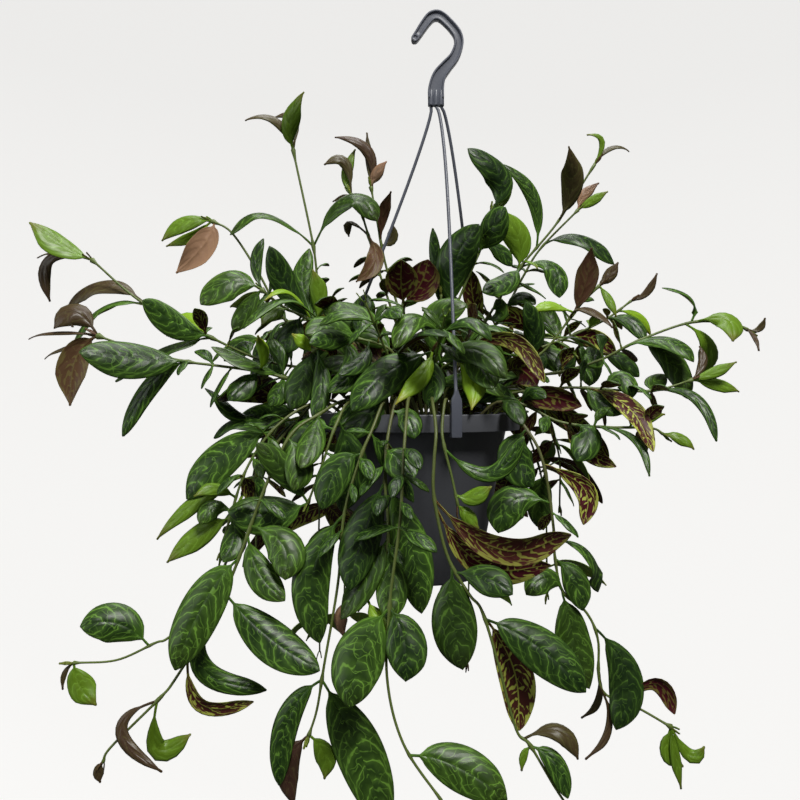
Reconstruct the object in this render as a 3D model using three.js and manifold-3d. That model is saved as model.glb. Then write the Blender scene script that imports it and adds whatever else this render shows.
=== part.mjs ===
// A tiger lipstick plant (climbing plants and vines) in the dark plastic hanging pot it is sold in.
// Millimetres, +Z up, +Y away from the viewer. The origin is where the hook bears on its rod.
import * as THREE from "three";
import { mergeVertices } from "three/addons/utils/BufferGeometryUtils.js";
import Module from "manifold-3d";

const wasm = await Module();
wasm.setup();

// Pot and soil
const RIM_RADIUS = 74;
const RIM_WIDTH = 8;
const RIM_HEIGHT = 12;
const POT_HEIGHT = 120;
const WALL = 1.6;
const BASE_RADIUS = 44;
const FOOT_HEIGHT = 3;
const FOOT_WIDTH = 5;
const DRAIN_HOLES = 6;
const DRAIN_RADIUS = 4;
const DRAIN_CIRCLE = 26;
const DRAIN_SIDES = 8;
const SOIL_DROP = 12;
const GAP = 0.3;
const POT_SIDES = 24;

// Hanger: the hook hangs this far above the rim, and this far beside the pot's axis
const HOOK_DROP = 294;
const HOOK_LEAN = 12;
const HOOK_LINE = [
  [-17.5, -16], [-13.9, -11], [-8.6, -3], [-3.8, 2.6], [0.8, 3.9], [4.6, 2.4], [9, -1.6], [13.2, -6.2],
  [16.4, -11.5], [16.9, -18.5], [13.6, -27.4], [7.2, -35], [2.2, -42], [0, -51], [0, -58],
];
const HOOK_WIDTHS = [5.2, 5.8, 6.5, 7.1, 7.1, 7, 6.8, 6.8, 6.8, 7, 7.5, 8.8, 10.2, 11.8, 12];
const HOOK_STEPS = 17;
const HOOK_THICKNESS = 6;
const HOOK_RECESS = 1.5;
const HOOK_RIB = 1.3;
const HOOK_LENGTH = 64;
const COLLAR_WIDTH = 12;
const COLLAR_HEIGHT = 13;
const SOCKET_PLACES = [-3.75, 0, 3.75];
const SOCKET_DEPTH = 9;
const SOCKET_PLAY = 0.36;
const STRAND_NAMES = ["strand_left", "strand_front", "strand_back"];
const STRAND_AZIMUTHS = [-103, 17, 137];
const STRAND_SIDES = 6;
const STRAND_RADIUS = 1.2;
const STRAND_STEPS = 9;
const STRAND_BOW = 4;
const BOW_SKEW = 0.5;
const STRAND_SEAT = 2;
const CLIP_WIDTH = 7.5;
const CLIP_THICKNESS = 3;
const CLIP_HEIGHT = 26;
const CLIP_TOP = 11;
const CLIP_NOSE = 4;

// Leafy stems
const STEM_RADIUS = 2.4;
const STEM_TIP_RADIUS = 1.8;
const STEM_SIDES = 3;
const HOLE_PLAY = 0.45;
const STEM_STEP = 28;
const MIN_STEM_STEPS = 4;
const STEM_SHIFTS = [0, -4, 4, -8, 8, -12, 12, -16, 16, -20, 20];
const ROOT_DEPTH = 12;
const ROOT_RISE = 3;
const JOIN_PARTS = 8;
const THICKNESS = { mature: 1.4, half: 1.3, lime: 1.3, bronze: 1.3, pink: 1.3 };
const STALK_WIDTH = 1.6;
const STALK_THICKNESS = 1.4;
const STALK_SHARE = 0.1;
const FULLNESS = 0.68;
const TAPER = 0.66;
const WIDEST = FULLNESS / (FULLNESS + TAPER);
const CUP = 0.22;
const CURL = 0.06;
const LONG_LEAF = 80;
const SHORT_LEAF = 33;
const LONG_SPOTS = [0, STALK_SHARE, 0.34, 0.62, 0.86];
const MIDDLING_SPOTS = [0, STALK_SHARE, 0.38, 0.74];
const SHORT_SPOTS = [0, STALK_SHARE, 0.5];
const CLEARANCE = 0.5;
const BEND_AMOUNTS = [0, -7, 7, -14, 14, -22, 22, -32, 32, -44, 44];
const BEND_ROLLS = [0, 25, -25, 50, -50];
const ROLL_COST = 0.4;

// Growth behind, out of the front view
const TRAILING_AZIMUTHS = [112, 133, 154, 175, 196, 217, 238, -97];
const TRAILING_ROOTS = [50, 36];
const TRAILING_TURN = [-3, 3];
const TRAILING_REACH = [25, 80];
const TRAILING_RISE = [8, 30];
const TRAILING_DROP = [70, 240];
const TRAILING_DRIFT = [-12, 12];
const CROWN_AZIMUTHS = [125, 170, 212, -75, -25, 15, 60];
const CROWN_ROOT = 22;
const CROWN_TURN = [-5, 5];
const CROWN_LEAN = [20, 60];
const CROWN_HEIGHT = [45, 90];
const PAIR_LENGTH = [62, 94];
const YOUNG_SHARE = 0.62;
const PAIR_SPREAD = [0.75, 1];
const PAIR_OUTWARD = [0.1, 0.6];
const PAIR_FORWARD = [0.1, 0.6];
const PAIR_REACH = 0.9;
const PAIR_RISE = [0, 0.12];
const PAIR_FALL = [-0.45, -0.1];
const PAIR_WIDTH = [0.27, 0.34];
const DRAW_FACTOR = 16807;
const DRAW_PRIME = 2147483647;

// The front view that the leaves are placed by: 800 pixels square, level, in front of the pot's axis
const MM_PER_PIXEL = 0.75;
const VIEW_DISTANCE = 600;
const VIEW_CENTRE = { across: 400, down: 400 };
const RIM_CENTRE_SEEN = { across: 420, down: 413 };

const vec = (x, y, z) => new THREE.Vector3(x, y, z);
const radians = THREE.MathUtils.degToRad;
const UP = vec(0, 0, 1);
const ACROSS = vec(1, 0, 0);
const RIM_CENTRE = vec(-HOOK_LEAN, 0, -HOOK_DROP);
const SOIL_TOP = RIM_CENTRE.z - SOIL_DROP;
const FACES = {
  front: vec(0, -0.9, 0.45),
  tilt: vec(0, -0.6, 0.8),
  up: vec(0, -0.3, 0.95),
  under: vec(0, 0.9, 0.3),
};
const EYE = vec(
  RIM_CENTRE.x + (VIEW_CENTRE.across - RIM_CENTRE_SEEN.across) * MM_PER_PIXEL,
  -VIEW_DISTANCE,
  RIM_CENTRE.z + (RIM_CENTRE_SEEN.down - VIEW_CENTRE.down) * MM_PER_PIXEL,
);

// The point seen at a pixel of the front view, away millimetres behind the pot's axis
function seen(across, down, away) {
  const scale = (MM_PER_PIXEL * (VIEW_DISTANCE + away)) / VIEW_DISTANCE;
  return vec(
    EYE.x + (across - VIEW_CENTRE.across) * scale,
    away,
    EYE.z - (down - VIEW_CENTRE.down) * scale,
  );
}

// How far from a pixel of the front view a point is seen
function missedBy(point, [across, down]) {
  const scale = VIEW_DISTANCE / (MM_PER_PIXEL * (point.y - EYE.y));
  return Math.hypot(
    VIEW_CENTRE.across + (point.x - EYE.x) * scale - across,
    VIEW_CENTRE.down - (point.z - EYE.z) * scale - down,
  );
}

// The point pushed away along the line of sight, so that it is still seen at the same pixel
function pushed(point, away) {
  const share = away / (point.y - EYE.y);
  return point.clone().add(point.clone().sub(EYE).multiplyScalar(share));
}

// A point round the pot's axis: azimuth 0 is the front and 90 the right, height is above the rim
function around(azimuth, radius, height) {
  const angle = radians(azimuth);
  return vec(radius * Math.sin(angle), -radius * Math.cos(angle), height).add(RIM_CENTRE);
}

// Solids

function solidOf(geometry) {
  geometry.deleteAttribute("normal");
  geometry.deleteAttribute("uv");
  const merged = mergeVertices(geometry, 1e-4);
  const corners = Array.from(merged.index.array);
  const kept = [];
  for (let i = 0; i < corners.length; i += 3) {
    const [a, b, c] = corners.slice(i, i + 3);
    if (a !== b && b !== c && c !== a) kept.push(a, b, c);
  }
  return new wasm.Manifold(
    new wasm.Mesh({
      numProp: 3,
      vertProperties: new Float32Array(merged.attributes.position.array),
      triVerts: new Uint32Array(kept),
    }),
  );
}

function meshOf(name, solid, material) {
  const { vertProperties, triVerts } = solid.getMesh();
  const geometry = new THREE.BufferGeometry();
  geometry.setAttribute("position", new THREE.BufferAttribute(new Float32Array(vertProperties), 3));
  geometry.setIndex(new THREE.BufferAttribute(new Uint32Array(triVerts), 1));
  geometry.computeVertexNormals();
  const mesh = new THREE.Mesh(geometry, material);
  mesh.name = name;
  return mesh;
}

// Triangles that close a section, all turning the same way as its outline
function closingOf(section) {
  return THREE.ShapeUtils.triangulateShape(section, []).map(([a, b, c]) =>
    THREE.ShapeUtils.area([section[a], section[b], section[c]]) > 0 ? [a, b, c] : [a, c, b],
  );
}

// A closed solid through rings of points, the last of which may be a single point.
// The diagonals lean the same way on a blade's upper and lower faces.
function loft(rings, closing) {
  const sides = rings[0].length;
  const faces = closing.map(([a, b, c]) => [a, c, b]);
  for (let ring = 1; ring < rings.length; ring++) {
    const below = (ring - 1) * sides;
    const above = ring * sides;
    for (let side = 0; side < sides; side++) {
      const next = (side + 1) % sides;
      const [a, b] = [below + side, below + next];
      const [c, d] = [above + side, above + next];
      if (rings[ring].length === 1) faces.push([a, b, above]);
      else if (side % 2) faces.push([a, b, c], [b, d, c]);
      else faces.push([a, b, d], [a, d, c]);
    }
  }
  const last = (rings.length - 1) * sides;
  if (rings.at(-1).length > 1) {
    faces.push(...closing.map((corners) => corners.map((corner) => corner + last)));
  }
  const geometry = new THREE.BufferGeometry().setFromPoints(rings.flat());
  geometry.setIndex(faces.flat());
  return solidOf(geometry);
}

// A regular outline with its first corner on the section's first axis
function roundSection(sides) {
  return Array.from({ length: sides }, (_, side) => {
    const angle = (2 * Math.PI * side) / sides;
    return new THREE.Vector2(Math.cos(angle), Math.sin(angle));
  });
}

// Frames along points, turned as little as possible from one to the next
function framesAlong(points, tangents, side) {
  return points.map((origin, index) => {
    side = side.clone().addScaledVector(tangents[index], -side.dot(tangents[index])).normalize();
    return { origin, side, lift: tangents[index].clone().cross(side) };
  });
}

function ringAt({ origin, side, lift }, section, size) {
  return section.map(({ x, y }) =>
    origin.clone().addScaledVector(side, x * size).addScaledVector(lift, y * size),
  );
}

function turned(profile, sides) {
  const points = profile.map(([radius, height]) => new THREE.Vector2(radius, height));
  const geometry = new THREE.LatheGeometry(points, sides);
  geometry.rotateX(Math.PI / 2);
  return solidOf(geometry);
}

function prism(sides, radius, bottom, top) {
  return turned([[0, bottom], [radius, bottom], [radius, top], [0, top]], sides);
}

function box(width, depth, height) {
  return solidOf(new THREE.BoxGeometry(width, depth, height));
}

// Pot and soil

function makePot() {
  const floor = FOOT_HEIGHT - POT_HEIGHT;
  const bodyTop = RIM_RADIUS - RIM_WIDTH;
  let pot = turned(
    [
      [0, floor],
      [BASE_RADIUS - FOOT_WIDTH, floor],
      [BASE_RADIUS - FOOT_WIDTH, -POT_HEIGHT],
      [BASE_RADIUS, -POT_HEIGHT],
      [bodyTop, -WALL],
      [RIM_RADIUS - WALL, -WALL],
      [RIM_RADIUS - WALL, -RIM_HEIGHT],
      [RIM_RADIUS, -RIM_HEIGHT],
      [RIM_RADIUS, 0],
      [bodyTop - WALL, 0],
      [BASE_RADIUS - WALL, floor + WALL],
      [0, floor + WALL],
    ],
    POT_SIDES,
  );
  const hole = prism(DRAIN_SIDES, DRAIN_RADIUS, floor - WALL, floor + 2 * WALL);
  for (let turn = 0; turn < DRAIN_HOLES; turn++) {
    const angle = (2 * Math.PI * turn) / DRAIN_HOLES;
    const [x, y] = [DRAIN_CIRCLE * Math.cos(angle), DRAIN_CIRCLE * Math.sin(angle)];
    pot = pot.subtract(hole.translate([x, y, 0]));
  }
  return pot.translate(RIM_CENTRE.toArray());
}

function makeSoil() {
  const floor = FOOT_HEIGHT - POT_HEIGHT + WALL;
  const bottom = BASE_RADIUS - WALL;
  const top = THREE.MathUtils.mapLinear(-SOIL_DROP, floor, 0, bottom, RIM_RADIUS - RIM_WIDTH - WALL);
  return turned(
    [[0, floor + GAP], [bottom - GAP, floor + GAP], [top - GAP, -SOIL_DROP], [0, -SOIL_DROP]],
    POT_SIDES,
  ).translate(RIM_CENTRE.toArray());
}

// Hanger: the hook is a bar of I section that widens to a flat collar, which the three strands are seated in

function hookSection(width) {
  const outer = width / 2;
  const inner = outer - HOOK_RIB;
  const thick = HOOK_THICKNESS / 2;
  const web = thick - HOOK_RECESS;
  return [
    [outer, -thick], [outer, thick], [inner, thick], [inner, web], [-inner, web], [-inner, thick],
    [-outer, thick], [-outer, -thick], [-inner, -thick], [-inner, -web], [inner, -web], [inner, -thick],
  ].map(([x, y]) => new THREE.Vector2(x, y));
}

function makeHook() {
  const line = HOOK_LINE.map(([x, z]) => vec(x, 0, z));
  const curve = new THREE.CatmullRomCurve3(line, false, "catmullrom", 0.5);
  const spots = Array.from({ length: HOOK_STEPS + 1 }, (_, step) => step / HOOK_STEPS);
  const points = spots.map((spot) => curve.getPoint(spot));
  const frames = framesAlong(points, spots.map((spot) => curve.getTangent(spot)), UP);
  const widths = new THREE.CatmullRomCurve3(
    HOOK_WIDTHS.map((width) => vec(width, 0, 0)), false, "catmullrom", 0.5,
  );
  const sections = spots.map((spot) => hookSection(widths.getPoint(spot).x));
  const bar = loft(frames.map((frame, index) => ringAt(frame, sections[index], 1)), closingOf(sections[0]));
  const bottom = -HOOK_LENGTH;
  const middle = bottom + COLLAR_HEIGHT / 2;
  const collar = box(COLLAR_WIDTH, HOOK_THICKNESS, COLLAR_HEIGHT).translate([0, 0, middle]);
  const socket = prism(STRAND_SIDES, STRAND_RADIUS + SOCKET_PLAY, bottom - GAP, bottom + SOCKET_DEPTH + GAP);
  return SOCKET_PLACES.reduce((hook, x) => hook.subtract(socket.translate([x, 0, 0])), bar.add(collar));
}

// One strand from its socket to the flat clip outside the rim, with the clip's nose under the lip
function makeStrand(azimuth, index) {
  const clipCentre = RIM_RADIUS + GAP + CLIP_THICKNESS / 2;
  const start = vec(SOCKET_PLACES[index], 0, -HOOK_LENGTH);
  const end = around(azimuth, clipCentre, CLIP_TOP - STRAND_SEAT);
  const span = end.clone().sub(start);
  const bowed = (share) =>
    start.clone().addScaledVector(span, share)
      .addScaledVector(ACROSS, STRAND_BOW * Math.sin(Math.PI * share ** BOW_SKEW));
  const shares = Array.from({ length: STRAND_STEPS + 1 }, (_, step) => step / STRAND_STEPS);
  const points = [start.clone().addScaledVector(UP, SOCKET_DEPTH), ...shares.map(bowed)];
  const tangents = points.map((point, index) =>
    index < 2 ? vec(0, 0, -1) : point.clone().sub(points[index - 1]).normalize(),
  );
  const section = roundSection(STRAND_SIDES);
  const frames = framesAlong(points, tangents, ACROSS);
  const strand = loft(frames.map((frame) => ringAt(frame, section, STRAND_RADIUS)), closingOf(section));
  const plate = box(CLIP_WIDTH, CLIP_THICKNESS, CLIP_HEIGHT).translate([
    0, -clipCentre, CLIP_TOP - CLIP_HEIGHT / 2,
  ]);
  const noseDepth = CLIP_NOSE + CLIP_THICKNESS;
  const noseHeight = CLIP_HEIGHT - CLIP_TOP - RIM_HEIGHT - GAP;
  const nose = box(CLIP_WIDTH, noseDepth, noseHeight).translate([
    0, noseDepth / 2 - clipCentre - CLIP_THICKNESS / 2, CLIP_TOP - CLIP_HEIGHT + noseHeight / 2,
  ]);
  const clip = plate.add(nose).rotate([0, 0, azimuth]).translate(RIM_CENTRE.toArray());
  return strand.add(clip);
}

// Leafy stems

// The stem's line: straight up out of its hole in the soil, then smoothly through its route
function lineOf({ root, route }, shift) {
  const emerged = around(...root, -SOIL_DROP + ROOT_RISE);
  const points = [emerged, ...route.map((point) => pushed(point, shift))];
  const length = points.slice(1).reduce((sum, point, index) => sum + point.distanceTo(points[index]), 0);
  const steps = Math.max(MIN_STEM_STEPS, Math.round(length / STEM_STEP));
  const curve = new THREE.CatmullRomCurve3(points, false, "catmullrom", 0.5);
  const spots = Array.from({ length: steps + 1 }, (_, step) => step / steps);
  const onCurve = spots.map((spot) => curve.getPoint(spot));
  const buried = emerged.clone().addScaledVector(UP, -ROOT_RISE - ROOT_DEPTH);
  const tangents = spots.map((spot) => curve.getTangent(spot));
  tangents[0] = UP;
  return { points: [buried, ...onCurve], tangents: [UP, ...tangents] };
}

function stemSolid({ points, tangents }, from, extra) {
  const frames = framesAlong(points, tangents, ACROSS);
  const section = roundSection(STEM_SIDES);
  const rings = frames.map((frame, index) => {
    const share = Math.max(0, index - 1) / (frames.length - 2);
    return ringAt(frame, section, THREE.MathUtils.lerp(STEM_RADIUS, STEM_TIP_RADIUS, share) + extra);
  });
  return loft(rings.slice(from), closingOf(section));
}

// The place on the stem that is seen nearest to a pixel
function joinNear(line, pixel) {
  let best = null;
  for (let step = 2; step < line.points.length; step++) {
    for (let part = 0; part <= JOIN_PARTS; part++) {
      const point = line.points[step - 1].clone().lerp(line.points[step], part / JOIN_PARTS);
      const miss = missedBy(point, pixel);
      if (!best || miss < best.miss) best = { miss, point };
    }
  }
  return best.point;
}

// Where a spot of a leaf's midrib is, and which way its side and its upper face point there
function midribFrame({ base, middle, tip, face }, spot, roll) {
  const control = middle.clone().multiplyScalar(2).addScaledVector(base, -0.5).addScaledVector(tip, -0.5);
  const curve = new THREE.QuadraticBezierCurve3(base, control, tip);
  const along = curve.getTangent(spot);
  const side = face.clone().cross(along).normalize().applyAxisAngle(along, radians(roll));
  return { point: curve.getPoint(spot), side, lift: along.clone().cross(side) };
}

// A leaf's ring of four corners: margin, upper midrib, margin, lower midrib
function bladeRing(leaf, spot, roll, extra) {
  const { width, thickness } = leaf;
  const { point, side, lift } = midribFrame(leaf, spot, roll);
  const share = Math.max(0, (spot - STALK_SHARE) / (1 - STALK_SHARE));
  const widest = WIDEST ** FULLNESS * (1 - WIDEST) ** TAPER;
  const fullness = (share ** FULLNESS * (1 - share) ** TAPER) / widest;
  const half = Math.max(STALK_WIDTH / 2, (width / 2) * fullness) + extra;
  const depth = (spot > STALK_SHARE ? thickness : STALK_THICKNESS) / 2 + extra;
  const margin = spot > STALK_SHARE ? -CUP * half : 0;
  return [
    point.clone().addScaledVector(side, half).addScaledVector(lift, margin),
    point.clone().addScaledVector(lift, depth),
    point.clone().addScaledVector(side, -half).addScaledVector(lift, margin),
    point.clone().addScaledVector(lift, -depth),
  ];
}

function spotsOf({ base, tip }) {
  const length = base.distanceTo(tip);
  if (length > LONG_LEAF) return LONG_SPOTS;
  return length > SHORT_LEAF ? MIDDLING_SPOTS : SHORT_SPOTS;
}

// A blade's very tip turns under
function curledTip(leaf, roll) {
  const { point, lift } = midribFrame(leaf, 1, roll);
  return point.addScaledVector(lift, -CURL * leaf.base.distanceTo(leaf.tip));
}

function bladeSolid(leaf, roll, from, extra) {
  const rings = spotsOf(leaf).slice(from).map((spot) => bladeRing(leaf, spot, roll, extra));
  return loft([...rings, [curledTip(leaf, roll)]], [[0, 1, 2], [0, 2, 3]]);
}

// Growth. Each stem is its name, the azimuth and radius of its root, its route and its leaves.
// A route's points are pixels across and down the front view and millimetres away behind the pot's axis.
// A leaf is where it joins, the pixel it passes and the pixel of its tip, then its width in millimetres,
// the side that its upper face is turned to, how much further away its tip is than its foot, and its age.
const GROWTH = [
  ["left_high", [-85, 30], [[360, 368, -5], [310, 368, -15], [262, 360, -25], [212, 338, -40],
    [143, 303, -50], [92, 260, -55]], [
    [211, 339, 161, 350, 113, 383, 24, "up", -12],
    [211, 339, 175, 322, 146, 300, 22, "front", -14],
    [205, 336, 186, 322, 163, 341, 20, "front", 10, "lime"],
    [142, 302, 99, 284, 58, 318, 20, "tilt", -8, "bronze"],
    [142, 302, 98, 310, 69, 354, 22, "up", 10],
    [92, 260, 60, 243, 30, 220, 22, "tilt", -8, "half"],
    [92, 260, 46, 262, 57, 318, 10, "front", 6, "bronze"],
    [92, 260, 62, 252, 38, 257, 10, "up", 0, "bronze"],
  ]],
  ["left_mid", [-75, 42], [[345, 378, -20], [305, 382, -38], [262, 372, -50], [212, 365, -58],
    [189, 362, -62], [148, 353, -65], [98, 336, -68]], [
    [189, 362, 133, 357, 83, 350, 28, "front", -20],
    [189, 362, 150, 385, 119, 446, 14, "front", -10],
    [98, 334, 72, 312, 50, 337, 20, "front", -6, "bronze"],
    [98, 336, 75, 362, 73, 414, 20, "under", -4, "bronze"],
    [98, 336, 62, 332, 28, 337, 8, "up", 0, "bronze"],
    [98, 336, 70, 345, 43, 357, 9, "up", 4, "bronze"],
    [257, 373, 243, 385, 228, 400, 18, "front", -6],
    [285, 379, 248, 360, 213, 346, 24, "front", -14],
    [285, 379, 279, 392, 267, 406, 15, "front", -6],
    [262, 372, 262, 352, 258, 338, 9, "front", -8, "lime"],
  ]],
  ["left_arch", [-100, 22], [[345, 358, 0], [318, 345, -2], [285, 320, -4], [258, 272, -6],
    [232, 233, -8], [212, 221, -8]], [
    [214, 222, 184, 222, 160, 243, 15, "front", -6, "half"],
    [214, 224, 203, 246, 171, 277, 19, "under", -8, "pink"],
    [212, 221, 190, 236, 165, 245, 10, "front", 6, "lime"],
  ]],
  ["tall_left", [-120, 12], [[365, 345, 8], [350, 330, 8], [323, 310, 6], [313, 244, 4],
    [294, 154, 2], [293, 142, 2]], [
    [313, 243, 262, 213, 229, 240, 22, "up", -14],
    [313, 243, 352, 196, 381, 236, 24, "tilt", -8],
    [294, 152, 274, 118, 241, 123, 13, "tilt", -10, "bronze"],
    [294, 152, 290, 120, 305, 91, 15, "front", -4, "half"],
    [294, 150, 292, 117, 270, 121, 8, "front", 6, "bronze"],
    [317, 285, 306, 280, 300, 262, 12, "front", -6],
  ]],
  ["young_top_left", [-150, 8], [[405, 350, 20], [395, 320, 20], [376, 262, 18], [362, 215, 16],
    [351, 194, 16]], [
    [351, 194, 343, 160, 319, 170, 10, "front", -6, "bronze"],
    [351, 194, 347, 172, 357, 147, 9, "front", 0, "half"],
    [364, 215, 348, 198, 332, 203, 9, "front", 4, "bronze"],
    [374, 236, 374, 262, 351, 283, 14, "under", -8, "bronze"],
    [369, 238, 349, 222, 353, 249, 7, "tilt", -4, "bronze"],
  ]],
  ["young_top_right", [170, 14], [[412, 350, 28], [399, 310, 28], [385, 262, 26], [376, 215, 24],
    [371, 187, 24]], [
    [371, 189, 366, 148, 329, 138, 10, "front", -8, "bronze"],
    [371, 187, 369, 158, 367, 134, 6, "front", 0, "bronze"],
    [372, 188, 376, 173, 387, 161, 11, "front", -4, "pink"],
    [380, 236, 384, 212, 391, 193, 9, "under", -4, "bronze"],
    [383, 248, 392, 238, 391, 221, 9, "front", -4, "bronze"],
  ]],
  ["dark_pair", [0, 10], [[407, 360, -5], [407, 345, -8], [404, 312, -8], [403, 292, -8]], [
    [404, 304, 401, 281, 402, 260, 24, "under", -22],
    [404, 304, 421, 283, 427, 260, 25, "under", -18],
  ]],
  ["narrow_up", [40, 12], [[432, 345, -8], [440, 320, -10], [441, 295, -10]], [
    [441, 296, 436, 262, 433, 228, 9, "front", -4],
  ]],
  ["left_up", [-60, 36], [[362, 365, -20], [335, 335, -24], [300, 315, -26], [285, 308, -27],
    [262, 290, -28]], [
    [322, 318, 286, 284, 273, 251, 19, "front", -16],
    [322, 316, 303, 283, 311, 250, 16, "front", 12],
    [322, 317, 319, 293, 313, 273, 13, "front", -4, "half"],
    [262, 292, 246, 308, 232, 334, 15, "front", -4],
    [262, 292, 246, 299, 229, 306, 12, "front", 6, "half"],
    [300, 315, 290, 334, 280, 354, 20, "front", -6],
    [260, 284, 256, 262, 264, 238, 9, "front", 6],
    [262, 290, 228, 282, 198, 310, 26, "front", -12],
    [312, 320, 288, 291, 264, 304, 9, "tilt", -20, "lime"],
    [322, 326, 283, 299, 236, 338, 13, "up", -24],
    [287, 308, 273, 312, 261, 326, 13, "front", -10, "half"],
  ]],
  ["crown_left", [-40, 24], [[400, 375, -28], [392, 352, -34], [372, 342, -38], [340, 338, -42],
    [312, 352, -46]], [
    [398, 356, 362, 322, 322, 308, 27, "front", -12],
    [355, 340, 330, 326, 306, 336, 22, "front", -20],
    [312, 352, 302, 380, 290, 410, 22, "front", -8],
    [318, 348, 322, 385, 312, 420, 14, "front", -16],
    [355, 340, 333, 338, 312, 343, 16, "front", -14],
    [345, 340, 352, 370, 322, 392, 18, "front", -24],
    [372, 345, 360, 362, 338, 372, 14, "front", -26],
    [312, 352, 303, 342, 292, 334, 10, "front", -4, "lime"],
  ]],
  ["crown_front", [5, 26], [[418, 378, -38], [425, 365, -46], [432, 352, -50]], [
    [430, 356, 432, 382, 428, 404, 18, "front", -20],
    [432, 353, 388, 372, 352, 412, 28, "front", -26],
    [432, 353, 421, 376, 392, 405, 13, "front", -34, "lime"],
  ]],
  ["crown_right", [35, 28], [[440, 375, -34], [452, 362, -42], [462, 352, -48]], [
    [456, 358, 474, 379, 469, 412, 16, "front", -30, "lime"],
    [443, 368, 438, 318, 472, 307, 24, "front", -8],
    [462, 352, 488, 326, 516, 342, 14, "up", -6],
    [462, 352, 515, 342, 547, 398, 12, "under", -16],
    [458, 356, 480, 366, 492, 390, 20, "front", -30],
  ]],
  ["up_right", [75, 12], [[440, 362, -6], [447, 330, -8], [462, 292, -10], [480, 250, -12],
    [491, 212, -12]], [
    [491, 212, 499, 174, 458, 145, 22, "front", -10],
    [491, 212, 505, 196, 508, 172, 8, "front", 6, "half"],
    [452, 310, 455, 262, 480, 226, 28, "front", -20],
    [480, 252, 490, 230, 505, 207, 23, "front", -16],
    [483, 244, 500, 250, 513, 268, 14, "front", 8],
    [450, 318, 440, 290, 437, 260, 8, "front", 2],
  ]],
  ["long_right", [105, 20], [[462, 355, 10], [484, 323, 10], [520, 268, 8], [557, 223, 6],
    [595, 164, 4]], [
    [482, 325, 473, 298, 471, 268, 15, "under", -16],
    [487, 320, 500, 312, 494, 297, 14, "front", -6],
    [517, 270, 517, 234, 491, 209, 23, "front", -12, "half"],
    [536, 246, 533, 196, 503, 166, 12, "front", -8],
    [560, 219, 573, 182, 568, 147, 17, "front", -8, "bronze"],
    [593, 168, 602, 140, 582, 136, 5, "front", -4, "half"],
    [595, 165, 612, 147, 631, 152, 7, "tilt", -6, "bronze"],
    [520, 268, 505, 282, 483, 290, 18, "front", -22],
    [523, 266, 554, 267, 557, 308, 19, "tilt", -12],
  ]],
  ["long_right_behind", [130, 24], [[478, 352, 26], [505, 310, 26], [524, 275, 24], [541, 248, 22],
    [578, 210, 20]], [
    [578, 210, 592, 200, 608, 191, 9, "front", -6, "half"],
    [578, 210, 585, 193, 600, 183, 9, "front", 2, "pink"],
    [546, 246, 583, 238, 618, 270, 21, "tilt", -6],
    [505, 310, 520, 296, 536, 306, 14, "front", -6],
  ]],
  ["red_tip", [70, 38], [[478, 385, -22], [515, 368, -28], [545, 350, -30], [577, 309, -32],
    [599, 286, -33]], [
    [574, 312, 586, 280, 590, 249, 16, "under", -8, "bronze"],
    [599, 286, 610, 275, 618, 262, 9, "front", 0, "bronze"],
    [599, 286, 609, 299, 617, 318, 7, "front", -6, "half"],
    [572, 315, 549, 305, 533, 314, 9, "front", -6, "lime"],
    [530, 358, 535, 330, 525, 302, 16, "front", -14],
    [505, 374, 522, 370, 540, 392, 20, "under", -8],
    [571, 320, 588, 308, 619, 334, 13, "up", -10, "bronze"],
  ]],
  ["red_tip_right", [95, 24], [[480, 368, 14], [540, 348, 12], [580, 332, 10], [608, 318, 8],
    [631, 301, 6]], [
    [631, 301, 648, 291, 657, 271, 6, "front", -4, "bronze"],
    [608, 318, 632, 322, 645, 344, 14, "front", -14],
    [620, 310, 640, 318, 651, 338, 9, "front", 6, "lime"],
  ]],
  ["right_high", [88, 48], [[505, 383, 2], [560, 372, -2], [600, 360, -6], [640, 340, -10],
    [693, 322, -12], [735, 325, -14], [748, 330, -14]], [
    [693, 322, 690, 297, 655, 287, 13, "up", -8],
    [697, 322, 728, 320, 731, 347, 19, "front", -10, "half"],
    [748, 330, 760, 328, 765, 316, 5, "front", -4, "bronze"],
    [746, 329, 755, 337, 759, 352, 4, "front", 0, "bronze"],
    [690, 323, 710, 350, 691, 379, 15, "front", 6, "half"],
    [583, 366, 594, 358, 586, 345, 18, "front", 2],
    [556, 373, 566, 362, 568, 344, 16, "front", 4],
    [631, 345, 669, 340, 695, 363, 20, "tilt", -20],
    [640, 341, 674, 362, 687, 402, 20, "front", -12],
  ]],
  ["right_low", [76, 50], [[500, 397, -12], [560, 388, -20], [600, 389, -24], [651, 391, -28],
    [692, 380, -30]], [
    [648, 391, 655, 382, 668, 374, 14, "front", 6],
    [651, 391, 699, 400, 716, 449, 9, "front", -8],
    [692, 381, 714, 372, 737, 361, 9, "front", -6, "half"],
    [692, 381, 718, 384, 739, 391, 11, "front", 4, "half"],
    [692, 381, 703, 362, 699, 346, 7, "front", 8, "bronze"],
    [600, 389, 624, 378, 633, 406, 16, "front", -14],
    [585, 388, 602, 400, 623, 414, 18, "front", -16],
    [590, 389, 632, 412, 649, 457, 15, "under", -20],
  ]],
  ["right_rim", [60, 50], [[514, 403, -42], [560, 422, -54], [603, 427, -58], [650, 428, -62],
    [663, 434, -62]], [
    [625, 427, 642, 417, 669, 414, 11, "front", -8, "half"],
    [663, 434, 681, 438, 695, 450, 9, "front", -4, "half"],
    [605, 427, 638, 442, 648, 480, 6, "front", -8],
    [560, 424, 588, 452, 613, 463, 12, "under", -12],
    [514, 403, 545, 396, 586, 408, 18, "under", -6],
    [518, 405, 490, 390, 457, 403, 18, "front", -6],
    [575, 424, 589, 436, 571, 467, 21, "front", -10],
    [520, 405, 532, 392, 547, 400, 12, "front", 4],
  ]],
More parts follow.
